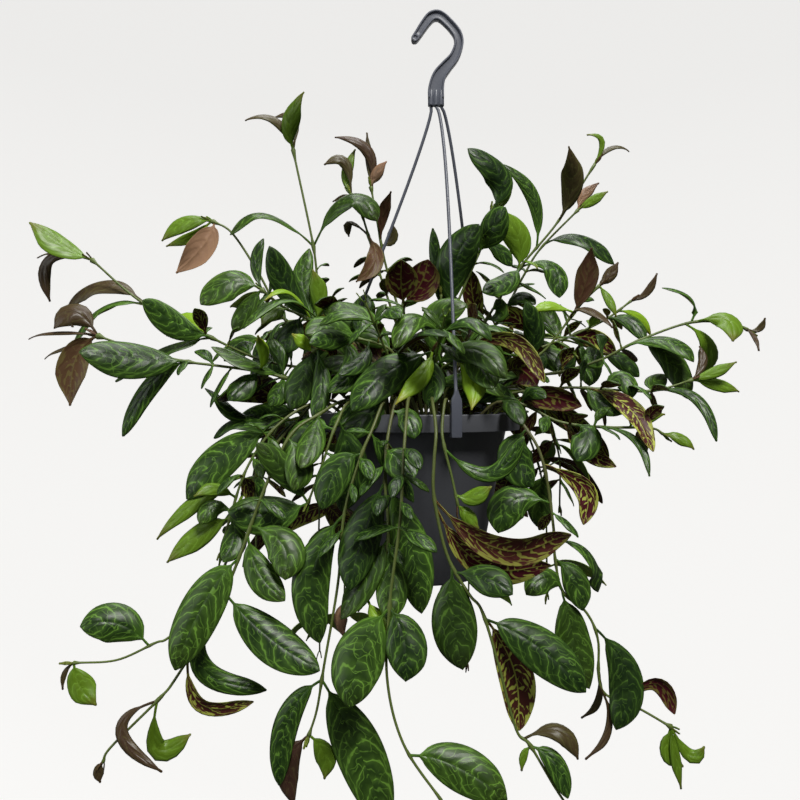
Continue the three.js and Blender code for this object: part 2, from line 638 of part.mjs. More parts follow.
  ["right_front", [42, 50], [[500, 402, -56], [527, 430, -74], [543, 462, -80], [553, 523, -84],
    [555, 558, -84], [563, 592, -86], [586, 612, -88], [598, 640, -90], [602, 690, -92],
    [640, 709, -94], [671, 727, -96]], [
    [546, 468, 585, 490, 577, 529, 14, "under", -6],
    [500, 402, 512, 405, 524, 428, 14, "front", -8],
    [527, 430, 516, 456, 540, 493, 25, "front", -8],
    [549, 500, 512, 502, 500, 541, 25, "front", -8],
    [546, 472, 540, 500, 546, 534, 18, "front", 8],
    [556, 560, 576, 580, 583, 616, 18, "front", -8],
    [554, 540, 592, 556, 598, 598, 22, "up", 10],
    [563, 593, 574, 640, 592, 690, 24, "front", -10],
    [563, 592, 545, 578, 525, 600, 18, "front", -6],
    [594, 630, 628, 680, 611, 733, 23, "front", -12],
    [602, 690, 608, 732, 583, 757, 5, "front", -8, "bronze"],
    [598, 668, 598, 702, 580, 716, 5, "front", 6, "bronze"],
    [628, 703, 659, 684, 675, 727, 11, "under", -8],
    [671, 727, 670, 752, 686, 766, 13, "front", 0, "half"],
    [671, 727, 692, 756, 705, 741, 9, "front", -4, "half"],
    [671, 727, 676, 758, 682, 790, 7, "front", 2, "half"],
  ]],
  ["front_left_long", [-28, 50], [[386, 398, -68], [372, 430, -86], [360, 459, -92], [344, 515, -96],
    [338, 583, -98], [324, 666, -100], [317, 709, -102], [309, 735, -104]], [
    [344, 515, 312, 575, 326, 650, 24, "front", -10],
    [322, 676, 287, 722, 281, 797, 16, "front", -6],
    [321, 682, 358, 748, 388, 832, 30, "front", -12],
    [309, 735, 288, 768, 298, 812, 14, "front", -2, "bronze"],
    [309, 735, 325, 756, 322, 781, 13, "front", 0, "half"],
    [362, 455, 335, 472, 322, 515, 22, "front", -8],
    [385, 402, 366, 416, 332, 442, 20, "front", -12],
  ]],
  ["front_left_short", [-13, 50], [[398, 398, -72], [388, 436, -92], [385, 482, -98], [388, 523, -102],
    [387, 553, -104], [380, 580, -106], [364, 601, -108]], [
    [385, 485, 362, 535, 350, 590, 25, "front", -10],
    [385, 485, 412, 548, 420, 613, 25, "front", -12],
    [388, 538, 365, 575, 338, 622, 22, "front", -16],
    [387, 545, 392, 585, 388, 618, 20, "front", -10],
    [366, 599, 384, 621, 407, 615, 14, "front", -14, "lime"],
    [364, 601, 340, 614, 348, 643, 10, "front", -14, "pink"],
    [386, 452, 398, 458, 417, 482, 22, "front", -16],
    [396, 410, 408, 418, 414, 443, 16, "front", -14],
  ]],
  ["front_middle", [0, 52], [[410, 397, -74], [405, 436, -104], [400, 520, -114], [390, 600, -118],
    [387, 677, -122], [403, 743, -126], [441, 800, -130], [468, 838, -134]], [
    [389, 604, 359, 655, 352, 708, 31, "front", -10],
    [389, 606, 405, 642, 404, 684, 25, "front", -8],
    [408, 752, 460, 768, 512, 805, 26, "front", -10],
    [441, 800, 425, 830, 405, 850, 20, "front", -4],
    [468, 838, 490, 845, 510, 860, 14, "front", 0, "lime"],
  ]],
  ["front_right_long", [13, 50], [[432, 398, -72], [436, 430, -94], [434, 462, -100], [434, 497, -102],
    [447, 555, -104], [469, 594, -106], [482, 611, -108], [498, 663, -110], [516, 729, -112],
    [530, 745, -113], [556, 789, -116], [580, 824, -119]], [
    [435, 500, 506, 550, 572, 521, 19, "under", -14],
    [438, 510, 488, 566, 553, 557, 19, "under", 8],
    [452, 565, 454, 620, 464, 669, 28, "front", -12],
    [455, 572, 487, 578, 512, 595, 20, "front", -16],
    [484, 615, 540, 648, 587, 694, 27, "front", -12],
    [486, 622, 514, 670, 516, 733, 22, "under", 10],
    [524, 738, 562, 732, 579, 768, 13, "tilt", -6, "bronze"],
    [532, 748, 556, 764, 568, 805, 13, "front", -10],
    [530, 746, 524, 756, 522, 774, 5, "front", 4, "half"],
    [580, 824, 596, 836, 606, 852, 12, "front", 0, "lime"],
    [580, 824, 570, 842, 562, 858, 12, "front", -4, "lime"],
  ]],
  ["front_right_short", [25, 48], [[446, 399, -70], [442, 428, -84], [445, 450, -88], [452, 478, -90],
    [458, 506, -92]], [
    [444, 446, 493, 472, 527, 421, 12, "front", -10],
    [456, 498, 474, 496, 492, 485, 12, "front", -6, "lime"],
    [458, 506, 468, 515, 480, 530, 10, "front", 0, "lime"],
  ]],
  ["left_pair", [-38, 46], [[352, 402, -56], [336, 425, -74], [322, 465, -80], [308, 503, -82]], [
    [308, 503, 268, 514, 227, 508, 27, "front", -4],
    [306, 500, 284, 470, 258, 445, 18, "front", -6],
    [337, 422, 350, 466, 338, 514, 24, "front", 0],
    [334, 430, 304, 436, 290, 488, 24, "front", 8],
  ]],
  ["back_left", [-140, 30], [[370, 362, 26], [348, 338, 34], [318, 322, 38], [288, 322, 40],
    [262, 338, 42]], [
    [348, 338, 330, 322, 318, 290, 22, "front", 6],
    [348, 338, 360, 318, 366, 290, 22, "front", 10],
    [318, 322, 300, 300, 282, 288, 20, "front", 8],
    [318, 322, 318, 350, 300, 380, 24, "front", -6],
    [288, 322, 270, 310, 250, 312, 18, "front", 4],
    [288, 322, 276, 348, 282, 378, 22, "front", -4],
    [262, 338, 240, 345, 224, 362, 20, "front", 0],
    [262, 338, 262, 362, 250, 388, 18, "front", 2],
  ]],
  ["back_right", [120, 35], [[470, 362, 30], [498, 345, 36], [530, 338, 40], [565, 340, 42],
    [600, 352, 44]], [
    [498, 345, 478, 330, 458, 345, 20, "front", 2],
    [498, 345, 502, 368, 490, 392, 22, "front", -4],
    [530, 338, 515, 318, 492, 320, 18, "under", 6],
    [530, 338, 548, 352, 570, 372, 22, "front", -6],
    [565, 340, 552, 322, 545, 300, 16, "front", 8],
    [565, 340, 592, 338, 618, 358, 16, "under", -4],
    [600, 352, 592, 366, 590, 388, 18, "front", -6],
    [600, 352, 622, 360, 640, 378, 16, "front", 0],
  ]],
  ["low_left", [-72, 50], [[322, 401, -26], [298, 420, -40], [258, 470, -50], [236, 540, -54],
    [200, 610, -58], [168, 638, -60], [155, 643, -60], [117, 660, -62], [74, 663, -64]], [
    [150, 644, 116, 623, 80, 629, 27, "front", -12],
    [74, 663, 80, 686, 98, 706, 18, "front", -4, "half"],
    [74, 663, 64, 674, 63, 692, 4, "front", 0, "bronze"],
    [300, 414, 246, 417, 209, 380, 22, "up", -14],
    [276, 446, 240, 420, 211, 443, 21, "front", -8],
    [300, 412, 264, 412, 232, 428, 17, "front", 4],
  ]],
  ["left_front", [-60, 50], [[334, 401, -42], [302, 408, -60], [271, 432, -72], [246, 470, -78],
    [230, 518, -82], [221, 552, -84]], [
    [271, 432, 222, 455, 183, 503, 27, "front", -12],
    [242, 478, 198, 500, 152, 543, 12, "front", -6, "half"],
    [236, 498, 214, 488, 194, 498, 10, "front", -16, "half"],
    [232, 510, 212, 508, 199, 529, 14, "front", -12],
    [230, 518, 234, 540, 221, 562, 17, "front", -4],
    [229, 520, 199, 534, 163, 566, 16, "front", -8, "half"],
    [224, 540, 232, 532, 244, 553, 12, "front", -10],
  ]],
  ["low_left_front", [-46, 50], [[348, 401, -52], [318, 415, -72], [290, 436, -84], [264, 490, -92],
    [242, 550, -96], [222, 600, -98], [203, 634, -100], [174, 681, -102], [159, 699, -104],
    [111, 747, -106], [103, 762, -106]], [
    [346, 402, 345, 412, 322, 428, 16, "front", -12],
    [318, 415, 312, 440, 300, 468, 18, "front", -6],
    [290, 436, 300, 462, 292, 492, 20, "front", -14],
    [252, 524, 284, 546, 281, 583, 24, "front", -10],
    [247, 536, 260, 574, 285, 598, 19, "front", -14],
    [240, 553, 202, 605, 173, 677, 28, "front", -10],
    [224, 597, 270, 638, 318, 668, 26, "front", -14],
    [215, 614, 206, 672, 292, 688, 14, "front", 6],
    [190, 655, 206, 706, 267, 691, 11, "under", 10],
    [157, 701, 122, 735, 188, 785, 8, "front", -8, "bronze"],
    [160, 698, 160, 750, 207, 716, 13, "front", 8, "half"],
    [103, 762, 98, 772, 101, 784, 7, "front", 0, "bronze"],
  ]],
];

function seenStem([name, root, route, leaves]) {
  const place = (line, [joinX, joinY, midX, midY, tipX, tipY, width, face, deeper, age = "mature"]) => {
    const base = joinNear(line, [joinX, joinY]);
    const middle = seen(midX, midY, base.y + deeper / 2);
    const tip = seen(tipX, tipY, base.y + deeper);
    return { base, middle, tip, width, face: FACES[face], thickness: THICKNESS[age], give: pushed };
  };
  return {
    name: "stem_" + name,
    root,
    route: route.map((point) => seen(...point)),
    leavesOn: (line) => leaves.map((leaf) => place(line, leaf)),
  };
}

// Behind, where the view doesn't reach, stems and leaf pairs follow a rule with seeded draws
function drawer(seed) {
  let state = seed;
  return (low, high) => {
    state = (state * DRAW_FACTOR) % DRAW_PRIME;
    return THREE.MathUtils.lerp(low, high, state / DRAW_PRIME);
  };
}

function leafPairs(line, draw, first, step) {
  const leaves = [];
  const middle = (share, from, to) => from.clone().lerp(to, share);
  for (let index = first; index < line.points.length; index += step) {
    const base = middle(0.5, line.points[index - 1], line.points[index]);
    const along = line.points[index].clone().sub(line.points[index - 1]).normalize();
    const outward = base.clone().sub(RIM_CENTRE).setZ(0).normalize();
    const sideways = along.clone().cross(outward).normalize();
    const young = index + step >= line.points.length;
    for (const hand of [-1, 1]) {
      const length = draw(...PAIR_LENGTH) * (young ? YOUNG_SHARE : 1);
      const heading = sideways.clone().multiplyScalar(hand * draw(...PAIR_SPREAD))
        .addScaledVector(outward, draw(...PAIR_OUTWARD)).addScaledVector(along, draw(...PAIR_FORWARD))
        .normalize();
      leaves.push({
        base,
        middle: base.clone().addScaledVector(heading, length / 2)
          .addScaledVector(UP, length * draw(...PAIR_RISE)),
        tip: base.clone().addScaledVector(heading, length * PAIR_REACH)
          .addScaledVector(UP, length * draw(...PAIR_FALL)),
        width: length * draw(...PAIR_WIDTH),
        face: outward.clone().add(UP),
        thickness: THICKNESS[young ? "lime" : "mature"],
        give: (point, amount) => point.clone().addScaledVector(UP, amount),
      });
    }
  }
  return leaves;
}

// The points that a trailing stem passes: its share of the drift, its radius and share of the reach,
// and its height above the rim with its shares of the rise and of the drop
const TRAILING_ROUTE = [
  [0, 66, 0, 4, 0.7, 0],
  [0.2, 84, 0, 4, 1, 0],
  [0.6, 80, 0.6, 0, 0.3, 0.1],
  [0.9, 80, 1, 0, 0, 0.45],
  [1, 80, 1.05, 0, 0, 1],
];

function trailingStem(_, index) {
  const draw = drawer(index + 11);
  const azimuth = TRAILING_AZIMUTHS[index] + draw(...TRAILING_TURN);
  const [reach, rise, drop, drift] =
    [TRAILING_REACH, TRAILING_RISE, TRAILING_DROP, TRAILING_DRIFT].map((range) => draw(...range));
  return {
    name: "stem_trailing_" + (index + 1),
    root: [azimuth, TRAILING_ROOTS[index % TRAILING_ROOTS.length]],
    route: TRAILING_ROUTE.map(([turn, radius, out, height, up, down]) =>
      around(azimuth + drift * turn, radius + reach * out, height + rise * up - drop * down),
    ),
    leavesOn: (line) => leafPairs(line, draw, 6, 2),
  };
}

// The points that a crown stem passes: its share of the lean, and its height with its share of the rise
const CROWN_ROUTE = [
  [0, 14, 0],
  [0.4, 0, 0.5],
  [1, 0, 1],
];

function crownStem(_, index) {
  const draw = drawer(index + 71);
  const azimuth = CROWN_AZIMUTHS[index] + draw(...CROWN_TURN);
  const [lean, height] = [draw(...CROWN_LEAN), draw(...CROWN_HEIGHT)];
  return {
    name: "stem_crown_" + (index + 1),
    root: [azimuth, CROWN_ROOT],
    route: CROWN_ROUTE.map(([out, base, up]) =>
      around(azimuth, CROWN_ROOT + lean * out, base + height * up),
    ),
    leavesOn: (line) => leafPairs(line, draw, 3, 1),
  };
}

// A leaf that would cross its neighbours is bent clear: its tip gives way, and then it is rolled a little
const BENDS = BEND_AMOUNTS.flatMap((amount) => BEND_ROLLS.map((roll) => [amount, roll])).sort(
  ([amountA, rollA], [amountB, rollB]) =>
    Math.abs(amountA) + Math.abs(rollA) * ROLL_COST - Math.abs(amountB) - Math.abs(rollB) * ROLL_COST,
);

const placed = [];

function place(owner, solid, ownSolid) {
  placed.push({ owner, solid, ownSolid, reach: solid.boundingBox() });
}

function boxesMeet(a, b) {
  return [0, 1, 2].every((axis) => a.min[axis] < b.max[axis] && b.min[axis] < a.max[axis]);
}

function overlaps(solid, other) {
  const common = solid.intersect(other);
  const crossing = common.volume() > 0;
  common.delete();
  return crossing;
}

// Whether a solid is clear of all that is placed. What grows on the same stem only has to be clear
// past the leaf stalks, which meet in the stem.
function isClear(owner, solid, ownSolid) {
  const reach = solid.boundingBox();
  return placed.every((other) => {
    if (!boxesMeet(reach, other.reach)) return true;
    return other.owner === owner ? !overlaps(ownSolid, other.ownSolid) : !overlaps(solid, other.solid);
  });
}

// The stems stand first, and then each leaf finds its place among them

function standStem(stem) {
  for (const shift of STEM_SHIFTS) {
    const line = lineOf(stem, shift);
    const trial = stemSolid(line, 1, CLEARANCE);
    const clear = isClear(stem.name, trial, trial);
    trial.delete();
    if (clear) {
      const solid = stemSolid(line, 0, 0);
      place(stem.name, solid, solid);
      return { ...stem, line, solid };
    }
  }
  return null;
}

function growLeaf(owner, leaf) {
  for (const [amount, roll] of BENDS) {
    const bent = { ...leaf, middle: leaf.give(leaf.middle, amount / 2), tip: leaf.give(leaf.tip, amount) };
    const trial = bladeSolid(bent, roll, 0, CLEARANCE);
    const blade = bladeSolid(bent, roll, 1, 0);
    const clear = isClear(owner, trial, blade);
    trial.delete();
    if (clear) {
      const solid = bladeSolid(bent, roll, 0, 0);
      place(owner, solid, blade);
      return solid;
    }
    blade.delete();
  }
  return null;
}

const plastic = new THREE.MeshStandardMaterial({ color: 0x26262a, roughness: 0.5 });
const hanger = new THREE.MeshStandardMaterial({ color: 0x6d7278, roughness: 0.45 });
const peat = new THREE.MeshStandardMaterial({ color: 0x2a1d14, roughness: 0.95 });
const foliage = new THREE.MeshStandardMaterial({ color: 0x35542a, roughness: 0.35 });

const pot = makePot();
const soil = makeSoil();
const hook = makeHook();
const strands = STRAND_AZIMUTHS.map(makeStrand);
place("pot", pot, pot);
place("soil", soil, soil);
place("hook", hook, hook);
strands.forEach((strand, index) => place(STRAND_NAMES[index], strand, strand));

const stems = [
  ...GROWTH.map(seenStem),
  ...TRAILING_AZIMUTHS.map(trailingStem),
  ...CROWN_AZIMUTHS.map(crownStem),
].map(standStem).filter(Boolean);

const leafy = stems.map(({ name, line, solid, leavesOn }) => {
  const leaves = leavesOn(line).map((leaf) => growLeaf(name, leaf)).filter(Boolean);
  return { name, solid: leaves.reduce((sum, leaf) => sum.add(leaf), solid) };
});

const stemHole = (stem) => {
  const frames = framesAlong(stem.line.points.slice(0, 2), [UP, UP], ACROSS);
  frames[0].origin = frames[0].origin.clone().addScaledVector(UP, -GAP);
  const section = roundSection(STEM_SIDES);
  return loft(frames.map((frame) => ringAt(frame, section, STEM_RADIUS + HOLE_PLAY)), closingOf(section));
};

const plant = new THREE.Group();
plant.name = "hanging_tiger_lipstick_plant";
plant.add(meshOf("pot", pot, plastic));
plant.add(meshOf("soil", stems.reduce((rest, stem) => rest.subtract(stemHole(stem)), soil), peat));
plant.add(meshOf("hook", hook, hanger));
strands.forEach((strand, index) => plant.add(meshOf(STRAND_NAMES[index], strand, hanger)));
leafy.forEach(({ name, solid }) => plant.add(meshOf(name, solid, foliage)));

export default plant;
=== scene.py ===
"""The looks of a tiger lipstick plant in its hanging pot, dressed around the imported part."""

import math

import bmesh
import bpy
import numpy as np
from mathutils import Euler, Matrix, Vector
from mathutils.bvhtree import BVHTree
from mathutils.kdtree import KDTree


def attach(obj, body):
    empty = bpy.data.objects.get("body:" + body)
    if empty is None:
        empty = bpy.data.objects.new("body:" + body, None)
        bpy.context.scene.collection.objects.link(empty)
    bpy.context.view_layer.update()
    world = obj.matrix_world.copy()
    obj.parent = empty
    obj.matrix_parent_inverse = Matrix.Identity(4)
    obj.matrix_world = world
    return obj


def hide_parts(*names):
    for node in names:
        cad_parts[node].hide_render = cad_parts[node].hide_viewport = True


bl_info = {
    "name": "Hanging Lipstick Plant",
    "version": (1, 0, 0),
    "blender": (4, 5, 0),
    "location": "View3D > Sidebar > Lipstick Plant",
    "description": "Dresses the packed plant with leaves, stems, soil, pot and hanger",
    "category": "Add Mesh",
}

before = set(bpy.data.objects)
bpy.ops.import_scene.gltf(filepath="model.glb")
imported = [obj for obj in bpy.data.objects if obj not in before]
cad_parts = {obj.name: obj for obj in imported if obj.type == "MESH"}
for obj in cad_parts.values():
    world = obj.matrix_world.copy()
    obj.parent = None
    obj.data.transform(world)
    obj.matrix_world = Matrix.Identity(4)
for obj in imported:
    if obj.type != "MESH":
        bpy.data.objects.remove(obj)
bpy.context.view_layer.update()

# Lengths are in millimetres until a mesh is made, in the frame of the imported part
MM = 0.001
UP = np.array([0.0, 0.0, 1.0])
ACROSS = np.array([1.0, 0.0, 0.0])

# Pot and soil, as in the part
HOOK_LEAN = 12
HOOK_DROP = 294
RIM_CENTRE = np.array([-HOOK_LEAN, 0.0, -HOOK_DROP])
RIM_RADIUS = 74
RIM_WIDTH = 8
RIM_HEIGHT = 12
POT_HEIGHT = 120
WALL = 1.6
BASE_RADIUS = 44
FOOT_HEIGHT = 3
FOOT_WIDTH = 5
DRAIN_HOLES = 6
DRAIN_RADIUS = 4
DRAIN_CIRCLE = 26
SOIL_DROP = 12
POT_TURNS = 96

# Hanger, as in the part
HOOK_LINE = [
    [-17.5, -16], [-13.9, -11], [-8.6, -3], [-3.8, 2.6], [0.8, 3.9], [4.6, 2.4], [9, -1.6], [13.2, -6.2],
    [16.4, -11.5], [16.9, -18.5], [13.6, -27.4], [7.2, -35], [2.2, -42], [0, -51], [0, -58],
]
HOOK_WIDTHS = [5.2, 5.8, 6.5, 7.1, 7.1, 7, 6.8, 6.8, 6.8, 7, 7.5, 8.8, 10.2, 11.8, 12]
HOOK_STEPS = 84
HOOK_THICKNESS = 6
HOOK_RECESS = 1.5
HOOK_RIB = 1.3
HOOK_LENGTH = 64
COLLAR_WIDTH = 12
COLLAR_HEIGHT = 13
COLLAR_STEPS = 24
SOCKET_PLACES = [-3.75, 0, 3.75]
SOCKET_DEPTH = 9
STRANDS = {"strand_left": -103, "strand_front": 17, "strand_back": 137}
STRAND_RADIUS = 1.2
STRAND_SIDES = 12
STRAND_STEPS = 60
STRAND_BOW = 4
BOW_SKEW = 0.5
STRAND_SEAT = 2
GAP = 0.3
CLIP_WIDTH = 7.5
CLIP_THICKNESS = 3
CLIP_HEIGHT = 26
CLIP_TOP = 11
CLIP_NOSE = 4
# The clip's plate, down from the strand: height above the rim, width and thickness
CLIP_PLATE = [
    [CLIP_TOP + 5, 2.6, 2.6],
    [CLIP_TOP + 2.5, 3.6, 2.8],
    [CLIP_TOP, 6.2, CLIP_THICKNESS],
    [CLIP_TOP - 2, 7.3, CLIP_THICKNESS],
    [CLIP_TOP - 5, CLIP_WIDTH, CLIP_THICKNESS],
    [CLIP_TOP - CLIP_HEIGHT + 1, CLIP_WIDTH, CLIP_THICKNESS],
    [CLIP_TOP - CLIP_HEIGHT, 7.1, 2.6],
]

# Leafy stems, as in the part
STEM_RADIUS = 2.4
STEM_TIP_RADIUS = 1.8
STEM_STEP = 28
MIN_STEM_STEPS = 4
STEM_SHIFTS = [0, -4, 4, -8, 8, -12, 12, -16, 16, -20, 20]
ROOT_DEPTH = 12
ROOT_RISE = 3
JOIN_PARTS = 8
STALK_WIDTH = 1.6
STALK_SHARE = 0.1
FULLNESS = 0.68
TAPER = 0.66
WIDEST = FULLNESS / (FULLNESS + TAPER)
CUP = 0.22
CURL = 0.06
LONG_LEAF = 80
SHORT_LEAF = 33
LONG_SPOTS = [0, STALK_SHARE, 0.34, 0.62, 0.86]
MIDDLING_SPOTS = [0, STALK_SHARE, 0.38, 0.74]
SHORT_SPOTS = [0, STALK_SHARE, 0.5]
BEND_AMOUNTS = [0, -7, 7, -14, 14, -22, 22, -32, 32, -44, 44]
BEND_ROLLS = [0, 25, -25, 50, -50]
ROLL_COST = 0.4
THICKNESS = {"mature": 1.4, "half": 1.3, "lime": 1.3, "bronze": 1.3, "pink": 1.3}

# Growth behind, by the part's rule
TRAILING_AZIMUTHS = [112, 133, 154, 175, 196, 217, 238, -97]
TRAILING_ROOTS = [50, 36]
TRAILING_TURN = [-3, 3]
TRAILING_REACH = [25, 80]
TRAILING_RISE = [8, 30]
TRAILING_DROP = [70, 240]
TRAILING_DRIFT = [-12, 12]
# Shares of the drift, then a radius and a share of the reach, then a height and shares of the rise and drop
TRAILING_ROUTE = [
    [0, 66, 0, 4, 0.7, 0],
    [0.2, 84, 0, 4, 1, 0],
    [0.6, 80, 0.6, 0, 0.3, 0.1],
    [0.9, 80, 1, 0, 0, 0.45],
    [1, 80, 1.05, 0, 0, 1],
]
# Which pieces of a stem's line carry pairs: the first, and the step to the next
TRAILING_PAIRS = (6, 2)
CROWN_AZIMUTHS = [125, 170, 212, -75, -25, 15, 60]
CROWN_ROOT = 22
CROWN_TURN = [-5, 5]
CROWN_LEAN = [20, 60]
CROWN_HEIGHT = [45, 90]
# A share of the lean, then a height and a share of the crown's height
CROWN_ROUTE = [[0, 14, 0], [0.4, 0, 0.5], [1, 0, 1]]
CROWN_PAIRS = (3, 1)
PAIR_LENGTH = [62, 94]
YOUNG_SHARE = 0.62
PAIR_SPREAD = [0.75, 1]
PAIR_OUTWARD = [0.1, 0.6]
PAIR_FORWARD = [0.1, 0.6]
PAIR_REACH = 0.9
PAIR_RISE = [0, 0.12]
PAIR_FALL = [-0.45, -0.1]
PAIR_WIDTH = [0.27, 0.34]
TRAILING_SEED = 11
CROWN_SEED = 71
DRAW_FACTOR = 16807
DRAW_PRIME = 2147483647

# The front view that the growth is placed by: 800 pixels square, level, in front of the pot's axis
PIXELS = 800
MM_PER_PIXEL = 0.75
VIEW_DISTANCE = 600
VIEW_CENTRE = (400, 400)
RIM_CENTRE_SEEN = (420, 413)
EYE = np.array([
    RIM_CENTRE[0] + (VIEW_CENTRE[0] - RIM_CENTRE_SEEN[0]) * MM_PER_PIXEL,
    -VIEW_DISTANCE,
    RIM_CENTRE[2] + (RIM_CENTRE_SEEN[1] - VIEW_CENTRE[1]) * MM_PER_PIXEL,
])
FACES = {
    "front": np.array([0, -0.9, 0.45]),
    "tilt": np.array([0, -0.6, 0.8]),
    "up": np.array([0, -0.3, 0.95]),
    "under": np.array([0, 0.9, 0.3]),
}

